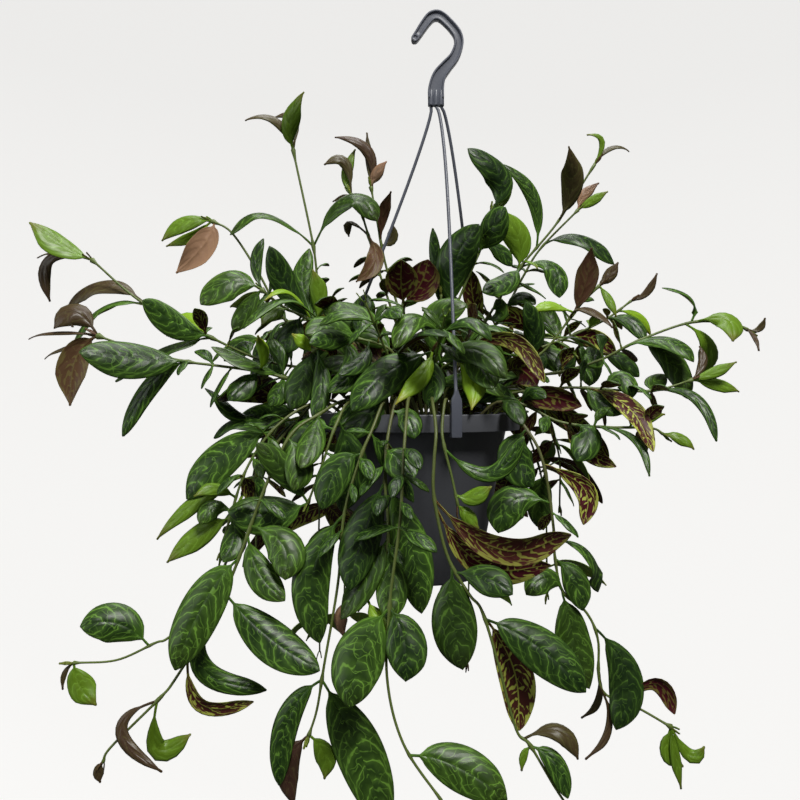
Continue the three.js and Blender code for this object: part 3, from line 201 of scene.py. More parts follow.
# Growth. Each stem is its name, the azimuth and radius of its root, its route and its leaves.
# A route's points are pixels across and down the front view and millimetres away behind the pot's axis.
# A leaf is where it joins, the pixel it passes and the pixel of its tip, then its width in millimetres,
# the side that its upper face is turned to, how much further away its tip is than its foot, and its age.
GROWTH = [
  ["left_high", [-85, 30], [[360, 368, -5], [310, 368, -15], [262, 360, -25], [212, 338, -40],
    [143, 303, -50], [92, 260, -55]], [
    [211, 339, 161, 350, 113, 383, 24, "up", -12],
    [211, 339, 175, 322, 146, 300, 22, "front", -14],
    [205, 336, 186, 322, 163, 341, 20, "front", 10, "lime"],
    [142, 302, 99, 284, 58, 318, 20, "tilt", -8, "bronze"],
    [142, 302, 98, 310, 69, 354, 22, "up", 10],
    [92, 260, 60, 243, 30, 220, 22, "tilt", -8, "half"],
    [92, 260, 46, 262, 57, 318, 10, "front", 6, "bronze"],
    [92, 260, 62, 252, 38, 257, 10, "up", 0, "bronze"],
  ]],
  ["left_mid", [-75, 42], [[345, 378, -20], [305, 382, -38], [262, 372, -50], [212, 365, -58],
    [189, 362, -62], [148, 353, -65], [98, 336, -68]], [
    [189, 362, 133, 357, 83, 350, 28, "front", -20],
    [189, 362, 150, 385, 119, 446, 14, "front", -10],
    [98, 334, 72, 312, 50, 337, 20, "front", -6, "bronze"],
    [98, 336, 75, 362, 73, 414, 20, "under", -4, "bronze"],
    [98, 336, 62, 332, 28, 337, 8, "up", 0, "bronze"],
    [98, 336, 70, 345, 43, 357, 9, "up", 4, "bronze"],
    [257, 373, 243, 385, 228, 400, 18, "front", -6],
    [285, 379, 248, 360, 213, 346, 24, "front", -14],
    [285, 379, 279, 392, 267, 406, 15, "front", -6],
    [262, 372, 262, 352, 258, 338, 9, "front", -8, "lime"],
  ]],
  ["left_arch", [-100, 22], [[345, 358, 0], [318, 345, -2], [285, 320, -4], [258, 272, -6],
    [232, 233, -8], [212, 221, -8]], [
    [214, 222, 184, 222, 160, 243, 15, "front", -6, "half"],
    [214, 224, 203, 246, 171, 277, 19, "under", -8, "pink"],
    [212, 221, 190, 236, 165, 245, 10, "front", 6, "lime"],
  ]],
  ["tall_left", [-120, 12], [[365, 345, 8], [350, 330, 8], [323, 310, 6], [313, 244, 4],
    [294, 154, 2], [293, 142, 2]], [
    [313, 243, 262, 213, 229, 240, 22, "up", -14],
    [313, 243, 352, 196, 381, 236, 24, "tilt", -8],
    [294, 152, 274, 118, 241, 123, 13, "tilt", -10, "bronze"],
    [294, 152, 290, 120, 305, 91, 15, "front", -4, "half"],
    [294, 150, 292, 117, 270, 121, 8, "front", 6, "bronze"],
    [317, 285, 306, 280, 300, 262, 12, "front", -6],
  ]],
  ["young_top_left", [-150, 8], [[405, 350, 20], [395, 320, 20], [376, 262, 18], [362, 215, 16],
    [351, 194, 16]], [
    [351, 194, 343, 160, 319, 170, 10, "front", -6, "bronze"],
    [351, 194, 347, 172, 357, 147, 9, "front", 0, "half"],
    [364, 215, 348, 198, 332, 203, 9, "front", 4, "bronze"],
    [374, 236, 374, 262, 351, 283, 14, "under", -8, "bronze"],
    [369, 238, 349, 222, 353, 249, 7, "tilt", -4, "bronze"],
  ]],
  ["young_top_right", [170, 14], [[412, 350, 28], [399, 310, 28], [385, 262, 26], [376, 215, 24],
    [371, 187, 24]], [
    [371, 189, 366, 148, 329, 138, 10, "front", -8, "bronze"],
    [371, 187, 369, 158, 367, 134, 6, "front", 0, "bronze"],
    [372, 188, 376, 173, 387, 161, 11, "front", -4, "pink"],
    [380, 236, 384, 212, 391, 193, 9, "under", -4, "bronze"],
    [383, 248, 392, 238, 391, 221, 9, "front", -4, "bronze"],
  ]],
  ["dark_pair", [0, 10], [[407, 360, -5], [407, 345, -8], [404, 312, -8], [403, 292, -8]], [
    [404, 304, 401, 281, 402, 260, 24, "under", -22],
    [404, 304, 421, 283, 427, 260, 25, "under", -18],
  ]],
  ["narrow_up", [40, 12], [[432, 345, -8], [440, 320, -10], [441, 295, -10]], [
    [441, 296, 436, 262, 433, 228, 9, "front", -4],
  ]],
  ["left_up", [-60, 36], [[362, 365, -20], [335, 335, -24], [300, 315, -26], [285, 308, -27],
    [262, 290, -28]], [
    [322, 318, 286, 284, 273, 251, 19, "front", -16],
    [322, 316, 303, 283, 311, 250, 16, "front", 12],
    [322, 317, 319, 293, 313, 273, 13, "front", -4, "half"],
    [262, 292, 246, 308, 232, 334, 15, "front", -4],
    [262, 292, 246, 299, 229, 306, 12, "front", 6, "half"],
    [300, 315, 290, 334, 280, 354, 20, "front", -6],
    [260, 284, 256, 262, 264, 238, 9, "front", 6],
    [262, 290, 228, 282, 198, 310, 26, "front", -12],
    [312, 320, 288, 291, 264, 304, 9, "tilt", -20, "lime"],
    [322, 326, 283, 299, 236, 338, 13, "up", -24],
    [287, 308, 273, 312, 261, 326, 13, "front", -10, "half"],
  ]],
  ["crown_left", [-40, 24], [[400, 375, -28], [392, 352, -34], [372, 342, -38], [340, 338, -42],
    [312, 352, -46]], [
    [398, 356, 362, 322, 322, 308, 27, "front", -12],
    [355, 340, 330, 326, 306, 336, 22, "front", -20],
    [312, 352, 302, 380, 290, 410, 22, "front", -8],
    [318, 348, 322, 385, 312, 420, 14, "front", -16],
    [355, 340, 333, 338, 312, 343, 16, "front", -14],
    [345, 340, 352, 370, 322, 392, 18, "front", -24],
    [372, 345, 360, 362, 338, 372, 14, "front", -26],
    [312, 352, 303, 342, 292, 334, 10, "front", -4, "lime"],
  ]],
  ["crown_front", [5, 26], [[418, 378, -38], [425, 365, -46], [432, 352, -50]], [
    [430, 356, 432, 382, 428, 404, 18, "front", -20],
    [432, 353, 388, 372, 352, 412, 28, "front", -26],
    [432, 353, 421, 376, 392, 405, 13, "front", -34, "lime"],
  ]],
  ["crown_right", [35, 28], [[440, 375, -34], [452, 362, -42], [462, 352, -48]], [
    [456, 358, 474, 379, 469, 412, 16, "front", -30, "lime"],
    [443, 368, 438, 318, 472, 307, 24, "front", -8],
    [462, 352, 488, 326, 516, 342, 14, "up", -6],
    [462, 352, 515, 342, 547, 398, 12, "under", -16],
    [458, 356, 480, 366, 492, 390, 20, "front", -30],
  ]],
  ["up_right", [75, 12], [[440, 362, -6], [447, 330, -8], [462, 292, -10], [480, 250, -12],
    [491, 212, -12]], [
    [491, 212, 499, 174, 458, 145, 22, "front", -10],
    [491, 212, 505, 196, 508, 172, 8, "front", 6, "half"],
    [452, 310, 455, 262, 480, 226, 28, "front", -20],
    [480, 252, 490, 230, 505, 207, 23, "front", -16],
    [483, 244, 500, 250, 513, 268, 14, "front", 8],
    [450, 318, 440, 290, 437, 260, 8, "front", 2],
  ]],
  ["long_right", [105, 20], [[462, 355, 10], [484, 323, 10], [520, 268, 8], [557, 223, 6],
    [595, 164, 4]], [
    [482, 325, 473, 298, 471, 268, 15, "under", -16],
    [487, 320, 500, 312, 494, 297, 14, "front", -6],
    [517, 270, 517, 234, 491, 209, 23, "front", -12, "half"],
    [536, 246, 533, 196, 503, 166, 12, "front", -8],
    [560, 219, 573, 182, 568, 147, 17, "front", -8, "bronze"],
    [593, 168, 602, 140, 582, 136, 5, "front", -4, "half"],
    [595, 165, 612, 147, 631, 152, 7, "tilt", -6, "bronze"],
    [520, 268, 505, 282, 483, 290, 18, "front", -22],
    [523, 266, 554, 267, 557, 308, 19, "tilt", -12],
  ]],
  ["long_right_behind", [130, 24], [[478, 352, 26], [505, 310, 26], [524, 275, 24], [541, 248, 22],
    [578, 210, 20]], [
    [578, 210, 592, 200, 608, 191, 9, "front", -6, "half"],
    [578, 210, 585, 193, 600, 183, 9, "front", 2, "pink"],
    [546, 246, 583, 238, 618, 270, 21, "tilt", -6],
    [505, 310, 520, 296, 536, 306, 14, "front", -6],
  ]],
  ["red_tip", [70, 38], [[478, 385, -22], [515, 368, -28], [545, 350, -30], [577, 309, -32],
    [599, 286, -33]], [
    [574, 312, 586, 280, 590, 249, 16, "under", -8, "bronze"],
    [599, 286, 610, 275, 618, 262, 9, "front", 0, "bronze"],
    [599, 286, 609, 299, 617, 318, 7, "front", -6, "half"],
    [572, 315, 549, 305, 533, 314, 9, "front", -6, "lime"],
    [530, 358, 535, 330, 525, 302, 16, "front", -14],
    [505, 374, 522, 370, 540, 392, 20, "under", -8],
    [571, 320, 588, 308, 619, 334, 13, "up", -10, "bronze"],
  ]],
  ["red_tip_right", [95, 24], [[480, 368, 14], [540, 348, 12], [580, 332, 10], [608, 318, 8],
    [631, 301, 6]], [
    [631, 301, 648, 291, 657, 271, 6, "front", -4, "bronze"],
    [608, 318, 632, 322, 645, 344, 14, "front", -14],
    [620, 310, 640, 318, 651, 338, 9, "front", 6, "lime"],
  ]],
  ["right_high", [88, 48], [[505, 383, 2], [560, 372, -2], [600, 360, -6], [640, 340, -10],
    [693, 322, -12], [735, 325, -14], [748, 330, -14]], [
    [693, 322, 690, 297, 655, 287, 13, "up", -8],
    [697, 322, 728, 320, 731, 347, 19, "front", -10, "half"],
    [748, 330, 760, 328, 765, 316, 5, "front", -4, "bronze"],
    [746, 329, 755, 337, 759, 352, 4, "front", 0, "bronze"],
    [690, 323, 710, 350, 691, 379, 15, "front", 6, "half"],
    [583, 366, 594, 358, 586, 345, 18, "front", 2],
    [556, 373, 566, 362, 568, 344, 16, "front", 4],
    [631, 345, 669, 340, 695, 363, 20, "tilt", -20],
    [640, 341, 674, 362, 687, 402, 20, "front", -12],
  ]],
  ["right_low", [76, 50], [[500, 397, -12], [560, 388, -20], [600, 389, -24], [651, 391, -28],
    [692, 380, -30]], [
    [648, 391, 655, 382, 668, 374, 14, "front", 6],
    [651, 391, 699, 400, 716, 449, 9, "front", -8],
    [692, 381, 714, 372, 737, 361, 9, "front", -6, "half"],
    [692, 381, 718, 384, 739, 391, 11, "front", 4, "half"],
    [692, 381, 703, 362, 699, 346, 7, "front", 8, "bronze"],
    [600, 389, 624, 378, 633, 406, 16, "front", -14],
    [585, 388, 602, 400, 623, 414, 18, "front", -16],
    [590, 389, 632, 412, 649, 457, 15, "under", -20],
  ]],
  ["right_rim", [60, 50], [[514, 403, -42], [560, 422, -54], [603, 427, -58], [650, 428, -62],
    [663, 434, -62]], [
    [625, 427, 642, 417, 669, 414, 11, "front", -8, "half"],
    [663, 434, 681, 438, 695, 450, 9, "front", -4, "half"],
    [605, 427, 638, 442, 648, 480, 6, "front", -8],
    [560, 424, 588, 452, 613, 463, 12, "under", -12],
    [514, 403, 545, 396, 586, 408, 18, "under", -6],
    [518, 405, 490, 390, 457, 403, 18, "front", -6],
    [575, 424, 589, 436, 571, 467, 21, "front", -10],
    [520, 405, 532, 392, 547, 400, 12, "front", 4],
  ]],
  ["right_front", [42, 50], [[500, 402, -56], [527, 430, -74], [543, 462, -80], [553, 523, -84],
    [555, 558, -84], [563, 592, -86], [586, 612, -88], [598, 640, -90], [602, 690, -92],
    [640, 709, -94], [671, 727, -96]], [
    [546, 468, 585, 490, 577, 529, 14, "under", -6],
    [500, 402, 512, 405, 524, 428, 14, "front", -8],
    [527, 430, 516, 456, 540, 493, 25, "front", -8],
    [549, 500, 512, 502, 500, 541, 25, "front", -8],
    [546, 472, 540, 500, 546, 534, 18, "front", 8],
    [556, 560, 576, 580, 583, 616, 18, "front", -8],
    [554, 540, 592, 556, 598, 598, 22, "up", 10],
    [563, 593, 574, 640, 592, 690, 24, "front", -10],
    [563, 592, 545, 578, 525, 600, 18, "front", -6],
    [594, 630, 628, 680, 611, 733, 23, "front", -12],
    [602, 690, 608, 732, 583, 757, 5, "front", -8, "bronze"],
    [598, 668, 598, 702, 580, 716, 5, "front", 6, "bronze"],
    [628, 703, 659, 684, 675, 727, 11, "under", -8],
    [671, 727, 670, 752, 686, 766, 13, "front", 0, "half"],
    [671, 727, 692, 756, 705, 741, 9, "front", -4, "half"],
    [671, 727, 676, 758, 682, 790, 7, "front", 2, "half"],
  ]],
  ["front_left_long", [-28, 50], [[386, 398, -68], [372, 430, -86], [360, 459, -92], [344, 515, -96],
    [338, 583, -98], [324, 666, -100], [317, 709, -102], [309, 735, -104]], [
    [344, 515, 312, 575, 326, 650, 24, "front", -10],
    [322, 676, 287, 722, 281, 797, 16, "front", -6],
    [321, 682, 358, 748, 388, 832, 30, "front", -12],
    [309, 735, 288, 768, 298, 812, 14, "front", -2, "bronze"],
    [309, 735, 325, 756, 322, 781, 13, "front", 0, "half"],
    [362, 455, 335, 472, 322, 515, 22, "front", -8],
    [385, 402, 366, 416, 332, 442, 20, "front", -12],
  ]],
  ["front_left_short", [-13, 50], [[398, 398, -72], [388, 436, -92], [385, 482, -98], [388, 523, -102],
    [387, 553, -104], [380, 580, -106], [364, 601, -108]], [
    [385, 485, 362, 535, 350, 590, 25, "front", -10],
    [385, 485, 412, 548, 420, 613, 25, "front", -12],
    [388, 538, 365, 575, 338, 622, 22, "front", -16],
    [387, 545, 392, 585, 388, 618, 20, "front", -10],
    [366, 599, 384, 621, 407, 615, 14, "front", -14, "lime"],
    [364, 601, 340, 614, 348, 643, 10, "front", -14, "pink"],
    [386, 452, 398, 458, 417, 482, 22, "front", -16],
    [396, 410, 408, 418, 414, 443, 16, "front", -14],
  ]],
  ["front_middle", [0, 52], [[410, 397, -74], [405, 436, -104], [400, 520, -114], [390, 600, -118],
    [387, 677, -122], [403, 743, -126], [441, 800, -130], [468, 838, -134]], [
    [389, 604, 359, 655, 352, 708, 31, "front", -10],
    [389, 606, 405, 642, 404, 684, 25, "front", -8],
    [408, 752, 460, 768, 512, 805, 26, "front", -10],
    [441, 800, 425, 830, 405, 850, 20, "front", -4],
    [468, 838, 490, 845, 510, 860, 14, "front", 0, "lime"],
  ]],
  ["front_right_long", [13, 50], [[432, 398, -72], [436, 430, -94], [434, 462, -100], [434, 497, -102],
    [447, 555, -104], [469, 594, -106], [482, 611, -108], [498, 663, -110], [516, 729, -112],
    [530, 745, -113], [556, 789, -116], [580, 824, -119]], [
    [435, 500, 506, 550, 572, 521, 19, "under", -14],
    [438, 510, 488, 566, 553, 557, 19, "under", 8],
    [452, 565, 454, 620, 464, 669, 28, "front", -12],
    [455, 572, 487, 578, 512, 595, 20, "front", -16],
    [484, 615, 540, 648, 587, 694, 27, "front", -12],
    [486, 622, 514, 670, 516, 733, 22, "under", 10],
    [524, 738, 562, 732, 579, 768, 13, "tilt", -6, "bronze"],
    [532, 748, 556, 764, 568, 805, 13, "front", -10],
    [530, 746, 524, 756, 522, 774, 5, "front", 4, "half"],
    [580, 824, 596, 836, 606, 852, 12, "front", 0, "lime"],
    [580, 824, 570, 842, 562, 858, 12, "front", -4, "lime"],
  ]],
  ["front_right_short", [25, 48], [[446, 399, -70], [442, 428, -84], [445, 450, -88], [452, 478, -90],
    [458, 506, -92]], [
    [444, 446, 493, 472, 527, 421, 12, "front", -10],
    [456, 498, 474, 496, 492, 485, 12, "front", -6, "lime"],
    [458, 506, 468, 515, 480, 530, 10, "front", 0, "lime"],
  ]],
  ["left_pair", [-38, 46], [[352, 402, -56], [336, 425, -74], [322, 465, -80], [308, 503, -82]], [
    [308, 503, 268, 514, 227, 508, 27, "front", -4],
    [306, 500, 284, 470, 258, 445, 18, "front", -6],
    [337, 422, 350, 466, 338, 514, 24, "front", 0],
    [334, 430, 304, 436, 290, 488, 24, "front", 8],
  ]],
  ["back_left", [-140, 30], [[370, 362, 26], [348, 338, 34], [318, 322, 38], [288, 322, 40],
    [262, 338, 42]], [
    [348, 338, 330, 322, 318, 290, 22, "front", 6],
    [348, 338, 360, 318, 366, 290, 22, "front", 10],
    [318, 322, 300, 300, 282, 288, 20, "front", 8],
    [318, 322, 318, 350, 300, 380, 24, "front", -6],
    [288, 322, 270, 310, 250, 312, 18, "front", 4],
    [288, 322, 276, 348, 282, 378, 22, "front", -4],
    [262, 338, 240, 345, 224, 362, 20, "front", 0],
    [262, 338, 262, 362, 250, 388, 18, "front", 2],
  ]],
  ["back_right", [120, 35], [[470, 362, 30], [498, 345, 36], [530, 338, 40], [565, 340, 42],
    [600, 352, 44]], [
    [498, 345, 478, 330, 458, 345, 20, "front", 2],
    [498, 345, 502, 368, 490, 392, 22, "front", -4],
    [530, 338, 515, 318, 492, 320, 18, "under", 6],
    [530, 338, 548, 352, 570, 372, 22, "front", -6],
    [565, 340, 552, 322, 545, 300, 16, "front", 8],
    [565, 340, 592, 338, 618, 358, 16, "under", -4],
    [600, 352, 592, 366, 590, 388, 18, "front", -6],
    [600, 352, 622, 360, 640, 378, 16, "front", 0],
  ]],
  ["low_left", [-72, 50], [[322, 401, -26], [298, 420, -40], [258, 470, -50], [236, 540, -54],
    [200, 610, -58], [168, 638, -60], [155, 643, -60], [117, 660, -62], [74, 663, -64]], [
    [150, 644, 116, 623, 80, 629, 27, "front", -12],
    [74, 663, 80, 686, 98, 706, 18, "front", -4, "half"],
    [74, 663, 64, 674, 63, 692, 4, "front", 0, "bronze"],
    [300, 414, 246, 417, 209, 380, 22, "up", -14],
    [276, 446, 240, 420, 211, 443, 21, "front", -8],
    [300, 412, 264, 412, 232, 428, 17, "front", 4],
  ]],
  ["left_front", [-60, 50], [[334, 401, -42], [302, 408, -60], [271, 432, -72], [246, 470, -78],
    [230, 518, -82], [221, 552, -84]], [
    [271, 432, 222, 455, 183, 503, 27, "front", -12],
    [242, 478, 198, 500, 152, 543, 12, "front", -6, "half"],
    [236, 498, 214, 488, 194, 498, 10, "front", -16, "half"],
    [232, 510, 212, 508, 199, 529, 14, "front", -12],
    [230, 518, 234, 540, 221, 562, 17, "front", -4],
    [229, 520, 199, 534, 163, 566, 16, "front", -8, "half"],
    [224, 540, 232, 532, 244, 553, 12, "front", -10],
  ]],
  ["low_left_front", [-46, 50], [[348, 401, -52], [318, 415, -72], [290, 436, -84], [264, 490, -92],
    [242, 550, -96], [222, 600, -98], [203, 634, -100], [174, 681, -102], [159, 699, -104],
    [111, 747, -106], [103, 762, -106]], [
    [346, 402, 345, 412, 322, 428, 16, "front", -12],
    [318, 415, 312, 440, 300, 468, 18, "front", -6],
    [290, 436, 300, 462, 292, 492, 20, "front", -14],
    [252, 524, 284, 546, 281, 583, 24, "front", -10],
    [247, 536, 260, 574, 285, 598, 19, "front", -14],
    [240, 553, 202, 605, 173, 677, 28, "front", -10],
    [224, 597, 270, 638, 318, 668, 26, "front", -14],
    [215, 614, 206, 672, 292, 688, 14, "front", 6],
    [190, 655, 206, 706, 267, 691, 11, "under", 10],
    [157, 701, 122, 735, 188, 785, 8, "front", -8, "bronze"],
    [160, 698, 160, 750, 207, 716, 13, "front", 8, "half"],
    [103, 762, 98, 772, 101, 784, 7, "front", 0, "bronze"],
  ]],
]


# Where things are in the part

SPOT_STEP = 0.0001


def seen(across, down, away):
    """The point seen at a pixel of the front view, away millimetres behind the pot's axis."""
    scale = MM_PER_PIXEL * (VIEW_DISTANCE + away) / VIEW_DISTANCE
    return np.array([
        EYE[0] + (across - VIEW_CENTRE[0]) * scale,
        away,
        EYE[2] - (down - VIEW_CENTRE[1]) * scale,
    ])


def missed_by(points, pixel):
    """How far from a pixel of the front view each point is seen."""
    scale = VIEW_DISTANCE / (MM_PER_PIXEL * (points[:, 1] - EYE[1]))
    across = VIEW_CENTRE[0] + (points[:, 0] - EYE[0]) * scale - pixel[0]
    down = VIEW_CENTRE[1] - (points[:, 2] - EYE[2]) * scale - pixel[1]
    return np.hypot(across, down)


def pushed(point, away):
    """The point pushed away along the line of sight."""
    return point + (point - EYE) * (away / (point[1] - EYE[1]))


def raised(point, amount):
    return point + UP * amount


def around(azimuth, radius, height):
    """A point round the pot's axis: azimuth 0 is the front and 90 the right, height is above the rim."""
    angle = math.radians(azimuth)
    return RIM_CENTRE + np.array([radius * math.sin(angle), -radius * math.cos(angle), height])


def unit(vectors):
    return vectors / np.linalg.norm(vectors, axis=-1, keepdims=True)


def distances_along(points):
    """How far along a line of points each one is."""
    return np.concatenate([[0], np.cumsum(np.linalg.norm(np.diff(points, axis=0), axis=1))])


def mixed(low, high, share):
    return low + (high - low) * share


def eased(low, high, value):
    """0 below low and 1 above high, and smooth between them."""
    share = np.clip((value - low) / (high - low), 0, 1)
    return share * share * (3 - 2 * share)


def spline(points, spots):
    """The points of a smooth curve through points, at spots from 0 to 1."""
    points = np.asarray(points, float)
    last = len(points) - 1
    ends = np.vstack([2 * points[0] - points[1], points, 2 * points[-1] - points[-2]])
    place = np.asarray(spots, float) * last
    span = np.minimum(place.astype(int), last - 1)
    share = (place - span)[:, None]
    before, start, end, after = (ends[span + shift] for shift in range(4))
    leaving = (end - before) / 2
    arriving = (after - start) / 2
    square = 3 * (end - start) - 2 * leaving - arriving
    cube = 2 * (start - end) + leaving + arriving
    return start + share * (leaving + share * (square + share * cube))


def headings(curve, spots):
    """The directions of a curve at spots from 0 to 1."""
    spots = np.asarray(spots, float)
    return unit(curve(np.clip(spots + SPOT_STEP, 0, 1)) - curve(np.clip(spots - SPOT_STEP, 0, 1)))


def frames_along(directions, side):
    """Sides and lifts along a curve, turned as little as possible from one point to the next."""
    sides = []
    for direction in directions:
        side = unit(side - direction * side.dot(direction))
        sides.append(side)
    sides = np.array(sides)
    return sides, np.cross(directions, sides)


def line_of(stem, shift):
    """A stem's line: straight up out of its hole in the soil, then smoothly through its route."""
    emerged = around(*stem["root"], -SOIL_DROP + ROOT_RISE)
    controls = np.array([emerged] + [pushed(point, shift) for point in stem["route"]])
    length = np.linalg.norm(np.diff(controls, axis=0), axis=1).sum()
    steps = max(MIN_STEM_STEPS, math.floor(length / STEM_STEP + 0.5))
    spots = np.arange(steps + 1) / steps

    def curve(places):
        return spline(controls, places)

    directions = headings(curve, spots)
    directions[0] = UP
    buried = emerged - UP * (ROOT_RISE + ROOT_DEPTH)
    return {
        "points": np.vstack([buried, curve(spots)]),
        "directions": np.vstack([UP, directions]),
        "controls": controls,
        "length": length,
    }


def stem_corners(line):
    """The corners of the part's three-sided stem, from its second ring in the open."""
    sides, lifts = frames_along(line["directions"], ACROSS)
    count = len(line["points"])
    share = np.maximum(0, np.arange(count) - 1) / (count - 2)
    radius = mixed(STEM_RADIUS, STEM_TIP_RADIUS, share)[:, None]
    rings = []
    for corner in range(3):
        angle = 2 * math.pi * corner / 3
        rings.append(line["points"] + (sides * math.cos(angle) + lifts * math.sin(angle)) * radius)
    return np.concatenate([ring[2:] for ring in rings])


def join_near(line, pixel):
    """The place on the part's stem that is seen nearest to a pixel."""
    points = line["points"]
    parts = np.arange(JOIN_PARTS + 1)[:, None] / JOIN_PARTS
    samples = np.vstack([
        mixed(points[step - 1], points[step], parts) for step in range(2, len(points))
    ])
    return samples[np.argmin(missed_by(samples, pixel))]


def blade_frames(leaf, spots, roll):
    """Where spots of a leaf's midrib are, and which way its side and its upper face point there."""
    spots = np.asarray(spots, float)
    base, tip = leaf["base"], leaf["tip"]
    control = 2 * leaf["middle"] - (base + tip) / 2

    def curve(places):
        share = places[:, None]
        return (1 - share) ** 2 * base + 2 * share * (1 - share) * control + share**2 * tip

    along = headings(curve, spots)
    side = unit(np.cross(leaf["face"], along))
    turn = np.radians(roll) * np.ones(len(spots))
    side = side * np.cos(turn)[:, None] + np.cross(along, side) * np.sin(turn)[:, None]
    return curve(spots), side, np.cross(along, side)


def fullness_at(spots):
    """A blade's half width at spots of its midrib, as a share of the most."""
    share = np.clip((np.asarray(spots, float) - STALK_SHARE) / (1 - STALK_SHARE), 0, 1)
    return share**FULLNESS * (1 - share) ** TAPER / (WIDEST**FULLNESS * (1 - WIDEST) ** TAPER)


def leaf_corners(leaf, roll):
    """The tip of the part's blade, and the corners of its rings past the stalk."""
    length = np.linalg.norm(leaf["tip"] - leaf["base"])
    spots = LONG_SPOTS if length > LONG_LEAF else MIDDLING_SPOTS if length > SHORT_LEAF else SHORT_SPOTS
    points, sides, lifts = blade_frames(leaf, [*spots[2:], 1], roll)
    tip = points[-1] - lifts[-1] * CURL * length
    half = np.maximum(STALK_WIDTH / 2, leaf["width"] / 2 * fullness_at(spots[2:]))[:, None]
    points, sides, lifts = points[:-1], sides[:-1], lifts[:-1]
    depth = leaf["thickness"] / 2
    return tip, np.concatenate([
        points + sides * half - lifts * CUP * half,
        points - sides * half - lifts * CUP * half,
        points + lifts * depth,
        points - lifts * depth,
    ])


# Growth, as the part grows it


def drawer(seed):
    """Seeded draws between two numbers."""
    state = seed

    def draw(low, high):
        nonlocal state
        state = state * DRAW_FACTOR % DRAW_PRIME
        return mixed(low, high, state / DRAW_PRIME)

    return draw


def seen_stem(name, root, route, leaves):
    def leaves_on(line):
        placed = []
        for join_x, join_y, mid_x, mid_y, tip_x, tip_y, width, face, deeper, *age in leaves:
            base = join_near(line, (join_x, join_y))
            age = age[0] if age else "mature"
            placed.append({
                "base": base,
                "middle": seen(mid_x, mid_y, base[1] + deeper / 2),
                "tip": seen(tip_x, tip_y, base[1] + deeper),
                "width": width,
                "face": FACES[face],
                "thickness": THICKNESS[age],
                "age": age,
                "give": pushed,
            })
        return placed

    return {
        "name": "stem_" + name,
        "root": root,
        "route": [seen(*point) for point in route],
        "leaves_on": leaves_on,
    }


def leaf_pairs(line, draw, first, step, newest):
    leaves = []
    points = line["points"]
    for index in range(first, len(points), step):
        base = mixed(points[index - 1], points[index], 0.5)
        along = unit(points[index] - points[index - 1])
        outward = base - RIM_CENTRE
        outward[2] = 0
        outward = unit(outward)
        sideways = unit(np.cross(along, outward))
        young = index + step >= len(points)
        for hand in (-1, 1):
            length = draw(*PAIR_LENGTH) * (YOUNG_SHARE if young else 1)
            heading = unit(
                sideways * hand * draw(*PAIR_SPREAD)
                + outward * draw(*PAIR_OUTWARD)
                + along * draw(*PAIR_FORWARD)
            )
            age = newest if young else "mature"
            leaves.append({
                "base": base,
                "middle": base + heading * length / 2 + UP * length * draw(*PAIR_RISE),
                "tip": base + heading * length * PAIR_REACH + UP * length * draw(*PAIR_FALL),
                "width": length * draw(*PAIR_WIDTH),
                "face": outward + UP,
                "thickness": THICKNESS[age],
                "age": age,
                "give": raised,
            })
    return leaves


def trailing_stem(index):
    draw = drawer(index + TRAILING_SEED)
    azimuth = TRAILING_AZIMUTHS[index] + draw(*TRAILING_TURN)
    reach = draw(*TRAILING_REACH)
    rise = draw(*TRAILING_RISE)
    drop = draw(*TRAILING_DROP)
    drift = draw(*TRAILING_DRIFT)
    return {
        "name": f"stem_trailing_{index + 1}",
        "root": [azimuth, TRAILING_ROOTS[index % len(TRAILING_ROOTS)]],
        "route": [
            around(azimuth + drift * turn, radius + reach * out, height + rise * up - drop * down)
            for turn, radius, out, height, up, down in TRAILING_ROUTE
        ],
        "leaves_on": lambda line: leaf_pairs(line, draw, *TRAILING_PAIRS, "lime"),
    }


def crown_stem(index):
    draw = drawer(index + CROWN_SEED)
    azimuth = CROWN_AZIMUTHS[index] + draw(*CROWN_TURN)
    lean = draw(*CROWN_LEAN)
    height = draw(*CROWN_HEIGHT)
    return {
        "name": f"stem_crown_{index + 1}",
        "root": [azimuth, CROWN_ROOT],
        "route": [
            around(azimuth, CROWN_ROOT + lean * out, base + height * up)
            for out, base, up in CROWN_ROUTE
        ],
        "leaves_on": lambda line: leaf_pairs(line, draw, *CROWN_PAIRS, "half"),
    }


# How the part stood each stem and bent each leaf clear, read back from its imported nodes

FOUND_WITHIN = 0.05
FOUND_SHARE = 0.6
BENDS = sorted(
    ([amount, roll] for amount in BEND_AMOUNTS for roll in BEND_ROLLS),
    key=lambda bend: abs(bend[0]) + abs(bend[1]) * ROLL_COST,
)


def corner_finder(node):
    """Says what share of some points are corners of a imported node."""
    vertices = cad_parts[node].data.vertices
    tree = KDTree(len(vertices))
    for index, vertex in enumerate(vertices):
        tree.insert(vertex.co / MM, index)
    tree.balance()
    return lambda points: np.mean([tree.find(point)[2] < FOUND_WITHIN for point in points])


def stood(stem):
    """The stem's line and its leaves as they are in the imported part."""
    share_found = corner_finder(stem["name"])
    lines = [line_of(stem, shift) for shift in STEM_SHIFTS]
    line = max(lines, key=lambda trial: share_found(stem_corners(trial)))
    leaves = []
    for leaf in stem["leaves_on"](line):
        best, share = None, FOUND_SHARE
        for amount, roll in BENDS:
            bent = {
                **leaf,
                "middle": leaf["give"](leaf["middle"], amount / 2),
                "tip": leaf["give"](leaf["tip"], amount),
                "roll": roll,
            }
            tip, corners = leaf_corners(bent, roll)
            if share_found([tip]) and share_found(corners) > share:
                best, share = bent, share_found(corners)
        if best:
            leaves.append(best)
    return line, leaves


# Skins gathered into one mesh

